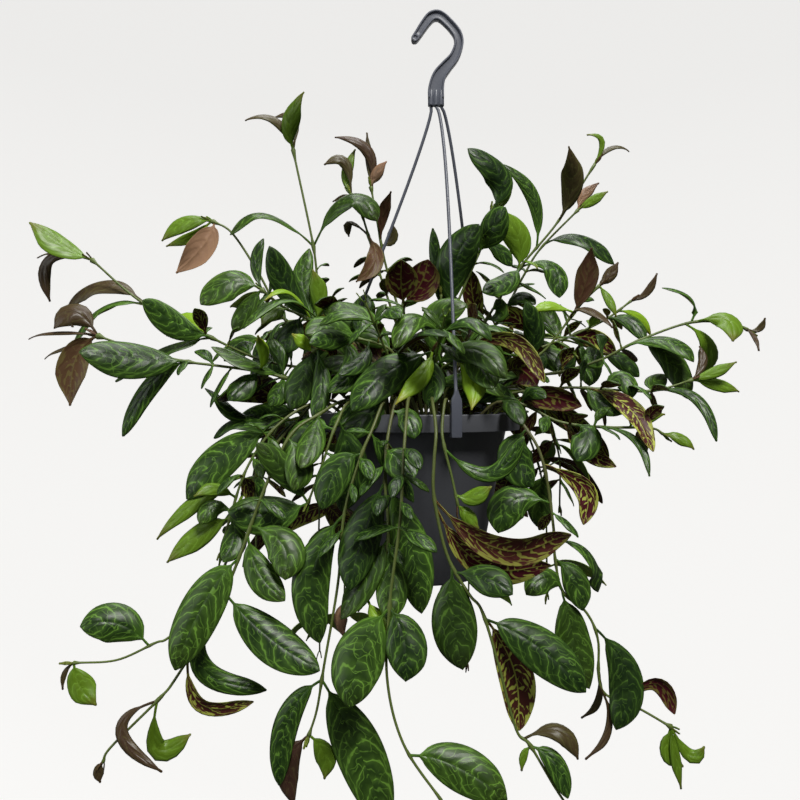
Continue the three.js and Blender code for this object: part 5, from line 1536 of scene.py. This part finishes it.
def build_hook(material):
    """The hook's bent bar with its recessed web, and the collar that holds the strands."""
    spots = np.concatenate([ROUND_END_SPOTS, np.arange(FIRST_EVEN_SPOT, HOOK_STEPS + 1) / HOOK_STEPS])
    line = np.array([[x, 0, z] for x, z in HOOK_LINE], float)

    def curve(places):
        return spline(line, places)

    points = curve(spots)
    sides, lifts = frames_along(headings(curve, spots), UP)
    widths = spline(np.array([[width, 0, 0] for width in HOOK_WIDTHS], float), spots)[:, 0]
    away = distances_along(points)
    short = np.clip(1 - away / (HOOK_WIDTHS[0] / 2), 0, 1)
    widths = widths * np.maximum(np.sqrt(1 - short**2), LEAST_ROUND)
    dimple = DIMPLE_DEPTH * np.exp(-(((away - DIMPLE_PLACE) / DIMPLE_WIDTH) ** 4))
    recess = HOOK_RECESS * np.maximum(eased(*RECESS_BEGIN, away), dimple)
    outlines = np.array([hook_outline(*pair) for pair in zip(widths, recess)])
    shape = Shape()
    add_bar(shape, points, sides, lifts, outlines)
    across = np.linspace(COLLAR_WIDTH / 2, -COLLAR_WIDTH / 2, COLLAR_STEPS + 1)
    crest = np.cos(math.pi * across / SOCKET_PLACES[-1]) ** 2
    bulge = COLLAR_THIN + (HOOK_THICKNESS / 2 - COLLAR_THIN) * crest**0.5
    bulge[[0, -1]] = COLLAR_EDGE
    ring = np.stack([np.concatenate([across, across[::-1]]), np.concatenate([bulge, -bulge])], 1)
    heights = np.array(COLLAR_HEIGHTS)
    shares = np.ones(len(heights))
    shares[0] = COLLAR_FOOT_SHARE
    outline = ring[None] * np.stack([shares, COLLAR_DEPTHS], 1)[:, None]
    add_straight(shape, np.outer(heights - HOOK_LENGTH, UP), ACROSS, np.array([0.0, 1.0, 0.0]), outline)
    finish_hanger(shape, "hook", material)


def add_straight(shape, points, side, lift, outlines):
    """A straight bar: one side and lift all along it."""
    count = len(points)
    add_bar(shape, points, np.tile(side, (count, 1)), np.tile(lift, (count, 1)), outlines)


def finish_hanger(shape, node, material):
    """A piece of the hanger in place of its node."""
    mesh = shape.mesh("hanger_" + node.replace("strand_", ""), [material])
    mesh.set_sharp_from_angle(angle=math.radians(HANGER_CREASE))
    place_piece(mesh.name, mesh, "hanger_plastic", node)


def rounded_box(width, height, radius):
    """The outline of a bar with rounded edges."""
    right, top = width / 2, height / 2
    return rounded_path([[right, -top], [right, top], [-right, top], [-right, -top]], [radius] * 4, 3)


def build_strand(name, azimuth, socket, material):
    """One strand, its flat clip outside the rim and the clip's nose under the lip."""
    clip_centre = RIM_RADIUS + GAP + CLIP_THICKNESS / 2
    start = np.array([socket, 0, -HOOK_LENGTH])
    end = around(azimuth, clip_centre, CLIP_TOP - STRAND_SEAT)
    outward = around(azimuth, 1, 0) - RIM_CENTRE
    along = around(azimuth + 90, 1, 0) - RIM_CENTRE
    shares = np.linspace(0, 1, STRAND_STEPS + 1)
    bow = STRAND_BOW * np.sin(math.pi * shares**BOW_SKEW)
    points = start + (end - start) * shares[:, None] + ACROSS * bow[:, None]
    points = np.vstack([start + UP * SOCKET_DEPTH, points])
    directions = np.vstack([-UP, -UP, unit(points[2:] - points[1:-1])])
    sides, lifts = frames_along(directions, along)
    shape = Shape()
    add_bar(shape, points, sides, lifts, circle(STRAND_SIDES) * STRAND_RADIUS)
    middles = np.array([around(azimuth, clip_centre, height) for height, *_ in CLIP_PLATE])
    outlines = np.array([rounded_box(width, depth, PLATE_ROUND) for _, width, depth in CLIP_PLATE])
    add_straight(shape, middles, along, outward, outlines)
    nose_height = CLIP_HEIGHT - CLIP_TOP - RIM_HEIGHT - GAP
    nose_middle = CLIP_TOP - CLIP_HEIGHT + nose_height / 2
    middles = np.array([
        around(azimuth, clip_centre - CLIP_THICKNESS / 2 + out, nose_middle)
        for out in (NOSE_SUNK, -CLIP_NOSE + NOSE_BEVEL, -CLIP_NOSE)
    ])
    base = rounded_box(NOSE_WIDTH, nose_height, NOSE_ROUND)
    tip = rounded_box(NOSE_TIP_WIDTH, nose_height - NOSE_TIP_LOSS, NOSE_ROUND)
    add_straight(shape, middles, along, -UP, np.array([base, base, tip]))
    finish_hanger(shape, name, material)


# Materials


class Graph:
    """A material's nodes, added from its inputs to its surface."""

    def __init__(self, name):
        self.material = bpy.data.materials.new(name)
        self.material.use_nodes = True
        self.tree = self.material.node_tree
        self.tree.nodes.clear()

    def node(self, kind, *inputs, **settings):
        """A node with its settings, and its inputs in order: each a number, a colour, a socket or None."""
        node = self.tree.nodes.new("ShaderNode" + kind)
        for name, value in settings.items():
            setattr(node, name, value)
        for socket, value in zip(node.inputs, inputs):
            self.fill(socket, value)
        return node

    def fill(self, socket, value):
        if isinstance(value, bpy.types.NodeSocket):
            self.tree.links.new(value, socket)
        elif value is not None:
            socket.default_value = value

    def math(self, operation, *values):
        return self.node("Math", *values, operation=operation).outputs[0]

    def add(self, *values):
        return self.math("ADD", *values)

    def times(self, *values):
        return self.math("MULTIPLY", *values)

    def step(self, value, low, high, to_low=0.0, to_high=1.0):
        """value eased from low..high to to_low..to_high."""
        node = self.node("MapRange", value, low, high, to_low, to_high, interpolation_type="SMOOTHSTEP")
        return node.outputs[0]

    def named(self, kind, **inputs):
        """A node whose inputs are given by name."""
        node = self.node(kind)
        for name, value in inputs.items():
            self.fill(node.inputs[name.replace("_", " ")], value)
        return node

    def mix(self, share, first, second):
        node = self.node("Mix", data_type="RGBA")
        self.fill(node.inputs[0], share)
        self.fill(node.inputs[6], first)
        self.fill(node.inputs[7], second)
        return node.outputs[2]

    def noise(self, place, scale, detail, roughness=0.5):
        return self.named(
            "TexNoise", Vector=place, Scale=scale, Detail=detail, Roughness=roughness
        ).outputs[0]

    def object_place(self):
        return self.node("TexCoord").outputs["Object"]

    def surface(self, colour, roughness, bump=None, depth=None, **others):
        """The principled surface, bumped by a height from 0 to 1 that is depth metres."""
        if bump is not None:
            others["Normal"] = self.named("Bump", Strength=1.0, Distance=depth, Height=bump).outputs[0]
        shader = self.named("BsdfPrincipled", Base_Color=colour, Roughness=roughness, **others)
        self.node("OutputMaterial", shader.outputs[0])
        return self.material


# A vein's arch: how far out it runs along the margin, how many cells it sweeps forward by then, and the
# least that is left of its curve there
ARCH_REACH = 0.9
ARCH_SWEEP = 1.8
ARCH_LEAST = 0.05
# How far the veins of one half are shifted along from those of the other, in cells
HALF_SHIFT = 0.3
# How many cells wide a blade is, for patterns that run the same both ways
CELLS_ACROSS = 3.0
# Where the second pattern is taken from, so that it differs from the first
SECOND_PATTERN = (31.7, 17.3, 5.1)
# Veins stray in long waves and jag in short ones
STRAY_SCALE = 0.9
JAG_SCALE = 2.2
JAG_SHARE = 0.4
LINK_SCALE = 1.5
PATCH_SCALE = 0.8
SPECK_SCALE = 1.9
# The broken vein that runs along the margin, as a share of the half blade, and how much it jags
EDGE_PLACE = 0.77
EDGE_JAG = 0.35
# A leaf's lines. Each is how strong it is, then what it follows and the range that brings it in: how near
# a vein is in cells, how far aside it is as a share of the half blade, or a patch or speck of noise.
UPPER_WANDER = 1.05
UPPER_LINES = [
    (1.0, ("arch", 0.058, 0.012), ("speck", 0.3, 0.52, 0.35, 1.0), ("aside", 1.0, 0.8, 0.35, 1.0)),
    (0.5, ("between", 0.045, 0.01), ("speck", 0.62, 0.5), ("aside", 0.8, 0.4)),
    (0.75, ("links", 0.02, 0.004), ("patch", 0.38, 0.52)),
    (0.6, ("edge", 0.035, 0.008), ("patch", 0.56, 0.44)),
    (0.2, ("arch", 0.3, 0.0)),
    (0.3, ("aside", 0.95, 0.985)),
]
UNDER_WANDER = 0.9
RAGGEDNESS = 0.3
UNDER_LINES = [
    (1.0, ("ragged_arch", 0.055, 0.02), ("patch", 0.36, 0.46)),
    (1.0, ("ragged_between", 0.05, 0.02), ("speck", 0.56, 0.48)),
    (1.0, ("edge", 0.045, 0.02), ("speck", 0.54, 0.44)),
    (0.6, ("links", 0.018, 0.006), ("speck", 0.5, 0.58)),
    (0.25, ("aside", 0.94, 0.97)),
    (0.8, ("aside", 0.06, 0.025)),
]
# A leaf's tone makes up this share of how light it is, and clouds the rest. Clouds change its gloss too.
TONE_SHARE = 0.7
CLOUD_SCALE = 16.0
CLOUD_RANGE = (0.35, 0.7)
LEAF_GLOSS = (0.30, 0.16)
LEAF_RELIEF = 0.0002
# A leaf is a lighter green near its stalk, and a young one yellower near its tip: shares of its length
BASE_ALONG = (0.34, 0.03)
TIP_ALONG = (0.72, 1.0)
# How its tone changes that lighter green, its veins and the marks below it
BASE_TONE = (0.2, 1.0, 0.15, 0.9)
VEIN_TONE = (0.0, 0.8, 0.45, 1.0)
MARK_TONE = (0.0, 0.9, 0.28, 1.0)
# How strong the lines of young and bronze leaves are, above and below
YOUNG_LINES = 0.35
YOUNG_MARKS = 0.4
BRONZE_MARKS = 0.25
# How young a bronze leaf is where it turns pink
PINK_YOUTH = (0.55, 0.75)


def vein_net(graph, wander):
    """How near each place of a leaf is to its veins, from its plan: x along it in cells and y across it.

    A vein leaves the midrib squarely, swings towards the tip and ends along the margin.
    """
    add, times = graph.add, graph.times
    plan = graph.node("UVMap", uv_map="Plan").outputs[0]
    place = graph.node("VectorMath", plan, (1.0, CELLS_ACROSS, 1.0), operation="MULTIPLY").outputs[0]
    moved = graph.node("VectorMath", place, SECOND_PATTERN, operation="ADD").outputs[0]
    parts = graph.node("SeparateXYZ", plan)
    across = add(times(parts.outputs[1], 2.0), -1.0)
    aside = graph.math("ABSOLUTE", across)
    reach = times(aside, 1 / ARCH_REACH)
    left = graph.math("MAXIMUM", add(1.0, times(-1.0, times(reach, reach))), ARCH_LEAST)
    root = graph.math("SQRT", left)
    sweep = times(ARCH_SWEEP, add(1.0, times(-1.0, root)))
    steep = graph.math("DIVIDE", times(reach, ARCH_SWEEP / ARCH_REACH), root)
    spread = graph.math("SQRT", add(1.0, times(steep, steep)))
    stray = times(add(graph.noise(place, STRAY_SCALE, 1.0), -0.5), wander)
    jag = times(add(graph.noise(moved, JAG_SCALE, 1.0), -0.5), JAG_SHARE * wander)
    shift = times(graph.math("GREATER_THAN", across, 0.0), HALF_SHIFT)
    along = add(add(parts.outputs[0], shift), add(add(stray, jag), times(sweep, -1.0)))

    def off(lag):
        share = add(graph.math("FRACT", add(along, lag)), -0.5)
        return graph.math("DIVIDE", graph.math("ABSOLUTE", share), spread)

    return {
        "aside": aside,
        "arch": off(0.5),
        "between": off(0.0),
        "links": graph.math("ABSOLUTE", add(graph.noise(moved, LINK_SCALE, 0.0), -0.5)),
        "edge": graph.math("ABSOLUTE", add(add(aside, times(jag, EDGE_JAG)), -EDGE_PLACE)),
        "patch": graph.noise(place, PATCH_SCALE, 1.0),
        "speck": graph.noise(moved, SPECK_SCALE, 1.0),
    }


def drawn(graph, net, lines):
    """How strong the strongest of a leaf's lines is."""
    strongest = 0.0
    for strength, *sources in lines:
        for source, *span in sources:
            strength = graph.times(strength, graph.step(net[source], *span))
        strongest = graph.math("MAXIMUM", strongest, strength)
    return strongest


def looks_of(graph):
    """How young, how red and how far along its leaf or stem each place is."""
    look = graph.node("SeparateXYZ", graph.node("Attribute", attribute_name="look").outputs["Vector"])
    return look.outputs[0], look.outputs[1], look.outputs[2]


def tone_of(graph):
    return graph.node("Attribute", attribute_name="tone").outputs["Fac"]


def aged(graph, pink, old, fresh, bronze):
    """The colour of a place by its leaf's age. Of the red leaves, the youngest are pink."""
    youth, redness, _ = looks_of(graph)
    bronze = graph.mix(graph.step(youth, *PINK_YOUTH), bronze, pink)
    return graph.mix(redness, graph.mix(youth, old, fresh), bronze)


def leaf_upper(colours):
    """Green with a pale net of veins, lime or bronze while young."""
    graph = Graph("leaf_upper")
    mix, step, times = graph.mix, graph.step, graph.times
    net = vein_net(graph, UPPER_WANDER)
    lines = drawn(graph, net, UPPER_LINES)
    along, tone = looks_of(graph)[2], tone_of(graph)
    cloud = graph.noise(graph.object_place(), CLOUD_SCALE, 2.0)
    shade = graph.add(times(tone, TONE_SHARE), times(step(cloud, *CLOUD_RANGE), 1 - TONE_SHARE))
    ground = mix(shade, colours["leaf_dark"], colours["leaf_green"])
    glow = times(step(along, *BASE_ALONG), step(tone, *BASE_TONE))
    ground = mix(glow, ground, colours["leaf_base"])
    old = mix(times(lines, step(tone, *VEIN_TONE)), ground, colours["vein"])
    fresh = mix(step(along, *TIP_ALONG), colours["lime"], colours["lime_tip"])
    fresh = mix(times(lines, YOUNG_LINES), fresh, colours["lime_vein"])
    bronze = mix(times(lines, YOUNG_LINES), colours["bronze"], colours["bronze_vein"])
    colour = aged(graph, colours["pink"], old, fresh, bronze)
    roughness = graph.add(LEAF_GLOSS[0], times(cloud, LEAF_GLOSS[1]))
    relief = step(net["arch"], 0.0, 0.4)
    return graph.surface(colour, roughness, relief, LEAF_RELIEF, Specular_IOR_Level=0.3)


def leaf_under(colours):
    """Maroon with ragged yellow-green marks where the veins run."""
    graph = Graph("leaf_under")
    mix, step, times = graph.mix, graph.step, graph.times
    net = vein_net(graph, UNDER_WANDER)
    ragged = times(graph.add(net["speck"], -0.5), RAGGEDNESS)
    net["ragged_arch"] = graph.add(net["arch"], ragged)
    net["ragged_between"] = graph.add(net["between"], ragged)
    marks = drawn(graph, net, UNDER_LINES)
    strength = step(tone_of(graph), *MARK_TONE)
    old = mix(times(marks, strength), colours["maroon"], colours["tiger"])
    fresh = mix(times(marks, YOUNG_MARKS), colours["lime_under"], colours["tiger"])
    bronze = mix(times(marks, BRONZE_MARKS), colours["bronze_under"], colours["bronze_vein"])
    colour = aged(graph, colours["pink"], old, fresh, bronze)
    relief = step(net["arch"], 0.35, 0.0)
    return graph.surface(colour, 0.45, relief, LEAF_RELIEF, Specular_IOR_Level=0.2)


def stem_bark(colours):
    """Green, and browner towards the root, on some stems more than on others."""
    graph = Graph("stem_bark")
    _, brown, along = looks_of(graph)
    place = graph.object_place()
    green = graph.mix(graph.noise(place, 60.0, 3.0), colours["stem"], colours["stem_light"])
    old = graph.times(graph.step(along, 0.75, 0.0), graph.add(graph.times(brown, 0.6), 0.25))
    colour = graph.mix(old, green, colours["stem_old"])
    return graph.surface(colour, 0.5, graph.noise(place, 900.0, 2.0), 0.00015)


def plastic(name, colour, light, roughness, grain):
    """Moulded plastic, faintly clouded, with a fine grain."""
    graph = Graph(name)
    place = graph.object_place()
    cloud = graph.noise(place, 9.0, 3.0)
    tint = graph.mix(cloud, colour, light)
    rough = graph.add(roughness, graph.times(graph.add(cloud, -0.5), 0.12))
    return graph.surface(tint, rough, graph.noise(place, grain, 2.0), 0.00006)


def peat(colours):
    """Dark peat with paler dry crumbs in patches."""
    graph = Graph("peat")
    place = graph.object_place()
    crumbs = graph.noise(place, 260.0, 4.0, 0.65)
    patches = graph.noise(place, 60.0, 2.0)
    colour = graph.mix(graph.step(crumbs, 0.4, 0.65), colours["peat"], colours["peat_light"])
    colour = graph.mix(graph.step(patches, 0.5, 0.7), colour, colours["peat"])
    return graph.surface(colour, 0.9, crumbs, 0.0012)


def backdrop_paint(colour, glow):
    graph = Graph("backdrop_paint")
    return graph.surface(colour, 0.9, Emission_Color=colour, Emission_Strength=glow)


# Stage

CAMERA_SENSOR = 36
CAMERA_RANGE = (0.01, 50)
ROOM_RADIUS = 3.0
# What the lamps point at, and each lamp's place and size in metres and its colour
LIT_PLACE = (-0.012, 0, -0.25)
LAMPS = {
    "key": ((0.5, -1.3, 1.5), 0.6, (1.0, 0.99, 0.96)),
    "fill": ((-1.5, -0.9, 0.2), 1.2, (0.95, 0.98, 1.0)),
    "top": ((0.0, 0.3, 1.4), 1.0, (1.0, 1.0, 1.0)),
    "back": ((0.2, 1.8, 0.2), 1.6, (1.0, 1.0, 1.0)),
}


def build_stage(settings):
    """A camera, a pale round room, and soft lights."""
    scene = bpy.context.scene
    view = bpy.data.cameras.new("front_camera")
    view.sensor_width = CAMERA_SENSOR
    view.lens = CAMERA_SENSOR * VIEW_DISTANCE / (PIXELS * MM_PER_PIXEL)
    view.clip_start, view.clip_end = CAMERA_RANGE
    camera = bpy.data.objects.new("front_camera", view)
    scene.collection.objects.link(camera)
    camera.location = Vector(EYE * MM)
    camera.rotation_euler = Euler((math.pi / 2, 0, 0))
    scene.camera = camera
    world = bpy.data.worlds.new("pale_room")
    world.use_nodes = True
    background = world.node_tree.nodes["Background"]
    background.inputs[0].default_value = (*settings.room_colour, 1)
    background.inputs[1].default_value = settings.room_strength
    scene.world = world
    for name, (place, size, colour) in LAMPS.items():
        lamp = bpy.data.lights.new(name, "AREA")
        lamp.size = size
        lamp.energy = getattr(settings, name + "_watts")
        lamp.color = colour
        holder = bpy.data.objects.new(name, lamp)
        scene.collection.objects.link(holder)
        holder.location = place
        holder.rotation_euler = (Vector(LIT_PLACE) - Vector(place)).to_track_quat("-Z", "Y").to_euler()
    work = bmesh.new()
    bmesh.ops.create_uvsphere(work, u_segments=64, v_segments=32, radius=ROOM_RADIUS)
    mesh = bpy.data.meshes.new("backdrop")
    work.to_mesh(mesh)
    work.free()
    mesh.materials.append(backdrop_paint((*settings.backdrop_colour, 1), settings.backdrop_glow))
    mesh.shade_smooth()
    backdrop = bpy.data.objects.new("backdrop", mesh)
    scene.collection.objects.link(backdrop)
    # The room is only the pale ground that the plant is seen against: the lamps light it, not the room
    backdrop.visible_diffuse = False
    backdrop.visible_glossy = False
    backdrop.visible_shadow = False
    scene.view_settings.view_transform = "Standard"
    scene.view_settings.look = "None"
    scene.view_settings.exposure = settings.exposure


# What the panel offers

SIZE_DIGITS = 4


def colour_property(name, description, value):
    return bpy.props.FloatVectorProperty(
        name=name, description=description, default=value, subtype="COLOR", size=3, min=0, max=1
    )


def size_property(name, description, millimetres):
    return bpy.props.FloatProperty(
        name=name, description=description, default=millimetres * MM, min=0, precision=5, unit="LENGTH"
    )


def number_property(name, description, value, least=0, **others):
    return bpy.props.FloatProperty(name=name, description=description, default=value, min=least, **others)


class FoliageSettings(bpy.types.PropertyGroup):
    """The colours of the leaves and stems."""

    leaf_dark: colour_property("Leaf, dark", "Darkest green of a grown leaf", (0.006, 0.018, 0.0035))
    leaf_green: colour_property("Leaf, green", "Lighter green of a grown leaf", (0.017, 0.045, 0.006))
    leaf_base: colour_property("Leaf, base", "Green beside a grown leaf's stalk", (0.06, 0.15, 0.012))
    vein: colour_property("Veins", "Veins of a grown leaf", (0.13, 0.27, 0.035))
    lime: colour_property("Young leaf", "Young leaf", (0.21, 0.37, 0.015))
    lime_tip: colour_property("Young leaf, tip", "Tip of a young leaf", (0.28, 0.26, 0.03))
    lime_vein: colour_property("Young leaf, veins", "Veins of a young leaf", (0.26, 0.44, 0.05))
    lime_under: colour_property("Young leaf, below", "Underside of a young leaf", (0.15, 0.28, 0.03))
    bronze: colour_property("New leaf", "Bronze new leaf", (0.058, 0.027, 0.018))
    bronze_vein: colour_property("New leaf, veins", "Veins of a bronze new leaf", (0.15, 0.13, 0.045))
    bronze_under: colour_property("New leaf, below", "Underside of a bronze leaf", (0.095, 0.042, 0.024))
    pink: colour_property("Newest leaf", "Thin newest leaf", (0.34, 0.17, 0.12))
    maroon: colour_property("Underside", "Ground of the underside", (0.062, 0.007, 0.012))
    tiger: colour_property("Underside, marks", "Marks of the underside", (0.38, 0.42, 0.07))
    stem: colour_property("Stem", "Green of a stem", (0.085, 0.125, 0.022))
    stem_light: colour_property("Stem, light", "Lighter green of a stem", (0.13, 0.18, 0.035))
    stem_old: colour_property("Stem, old", "Bark of an old stem", (0.07, 0.045, 0.02))


class PotSettings(bpy.types.PropertyGroup):
    """The colours of the pot, the soil and the hanger."""

    pot: colour_property("Pot", "Plastic of the pot", (0.072, 0.075, 0.086))
    pot_light: colour_property("Pot, light", "Lighter cloud in the pot", (0.084, 0.087, 0.098))
    hanger: colour_property("Hanger", "Plastic of the hanger", (0.085, 0.092, 0.118))
    hanger_light: colour_property("Hanger, light", "Lighter cloud in the hanger", (0.10, 0.108, 0.135))
    peat: colour_property("Peat", "Dark peat", (0.022, 0.013, 0.008))
    peat_light: colour_property("Peat, light", "Dry crumbs of peat", (0.085, 0.055, 0.033))


class SizeSettings(bpy.types.PropertyGroup):
    """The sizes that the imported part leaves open."""

    blade_thickness: size_property("Blade thickness", "Thickness of a leaf's blade", 0.7)
    stalk_radius: size_property("Stalk radius", "Radius of a leaf's stalk", 0.85)
    groove_depth: size_property("Groove depth", "Depth of the groove over a leaf's midrib", 0.42)
    joint_swelling: size_property("Joint swelling", "How much a stem swells where leaves join it", 0.45)
    crumb_height: size_property("Crumb height", "Height of the peat's crumbs", 0.8)


class StageSettings(bpy.types.PropertyGroup):
    """The room and its lights."""

    room_colour: colour_property("Room", "Light of the room", (1.0, 1.0, 1.0))
    room_strength: number_property("Room strength", "Strength of the room's light", 0.07)
    backdrop_colour: colour_property("Backdrop", "Paint of the backdrop", (0.84, 0.835, 0.825))
    backdrop_glow: number_property("Backdrop glow", "Strength of the backdrop's own light", 0.71)
    key_watts: number_property("Main light", "Power of the main light", 54, unit="POWER")
    fill_watts: number_property("Side light", "Power of the side light", 9, unit="POWER")
    top_watts: number_property("Top light", "Power of the light above", 18, unit="POWER")
    back_watts: number_property("Back light", "Power of the light behind", 10, unit="POWER")
    exposure: number_property("Exposure", "Exposure of the view", 0.0, least=-10, max=10)


def colours_of(settings):
    """A settings group's colours with an alpha each."""
    return {name: (*getattr(settings, name), 1.0) for name in settings.__annotations__}


def sizes_of(settings):
    """A settings group's sizes in millimetres, free of the digits that storing them adds."""
    return {name: round(getattr(settings, name) / MM, SIZE_DIGITS) for name in settings.__annotations__}


class PLANT_OT_stage(bpy.types.Operator):
    """Set up the camera, the lights and the backdrop"""

    bl_idname = "plant.stage"
    bl_label = "Set the stage"

    def execute(self, context):
        build_stage(context.scene.plant_stage)
        return {"FINISHED"}


class PLANT_OT_pot(bpy.types.Operator):
    """Build the pot"""

    bl_idname = "plant.pot"
    bl_label = "Build the pot"

    def execute(self, context):
        colours = colours_of(context.scene.plant_pot)
        build_pot(plastic("pot_plastic", colours["pot"], colours["pot_light"], 0.46, 700.0))
        return {"FINISHED"}


class PLANT_OT_soil(bpy.types.Operator):
    """Build the soil"""

    bl_idname = "plant.soil"
    bl_label = "Build the soil"

    def execute(self, context):
        crumb = sizes_of(context.scene.plant_sizes)["crumb_height"]
        material = peat(colours_of(context.scene.plant_pot))
        build_soil(material, crumb, np.random.default_rng(SOIL_SEED))
        return {"FINISHED"}


class PLANT_OT_hanger(bpy.types.Operator):
    """Build the hook and the three strands"""

    bl_idname = "plant.hanger"
    bl_label = "Build the hanger"

    def execute(self, context):
        colours = colours_of(context.scene.plant_pot)
        material = plastic("hanger_plastic", colours["hanger"], colours["hanger_light"], 0.42, 600.0)
        build_hook(material)
        for (name, azimuth), socket in zip(STRANDS.items(), SOCKET_PLACES):
            build_strand(name, azimuth, socket, material)
        return {"FINISHED"}


class PLANT_OT_leafy_stems(bpy.types.Operator):
    """Grow the leafy stems"""

    bl_idname = "plant.leafy_stems"
    bl_label = "Grow the leafy stems"

    def execute(self, context):
        colours = colours_of(context.scene.plant_foliage)
        materials = [leaf_upper(colours), leaf_under(colours), stem_bark(colours)]
        build_leafy(materials, sizes_of(context.scene.plant_sizes))
        return {"FINISHED"}


class PLANT_PT_panel(bpy.types.Panel):
    """The plant's pieces and settings"""

    bl_idname = "PLANT_PT_panel"
    bl_label = "Lipstick Plant"
    bl_space_type = "VIEW_3D"
    bl_region_type = "UI"
    bl_category = "Lipstick Plant"

    def draw(self, context):
        layout = self.layout
        for operator in OPERATORS:
            layout.operator(operator.bl_idname)
        for holder, group in SETTINGS.items():
            for name in group.__annotations__:
                layout.prop(getattr(context.scene, holder), name)


SETTINGS = {
    "plant_sizes": SizeSettings,
    "plant_foliage": FoliageSettings,
    "plant_pot": PotSettings,
    "plant_stage": StageSettings,
}
OPERATORS = [PLANT_OT_stage, PLANT_OT_pot, PLANT_OT_soil, PLANT_OT_hanger, PLANT_OT_leafy_stems]


def register():
    for group in [*SETTINGS.values(), *OPERATORS, PLANT_PT_panel]:
        bpy.utils.register_class(group)
    for name, group in SETTINGS.items():
        setattr(bpy.types.Scene, name, bpy.props.PointerProperty(type=group))


def unregister():
    for name in SETTINGS:
        delattr(bpy.types.Scene, name)
    for group in reversed([*SETTINGS.values(), *OPERATORS, PLANT_PT_panel]):
        bpy.utils.unregister_class(group)


def main():
    register()
    bpy.ops.plant.stage()
    bpy.ops.plant.pot()
    bpy.ops.plant.soil()
    bpy.ops.plant.hanger()
    bpy.ops.plant.leafy_stems()


if __name__ == "__main__":
    main()
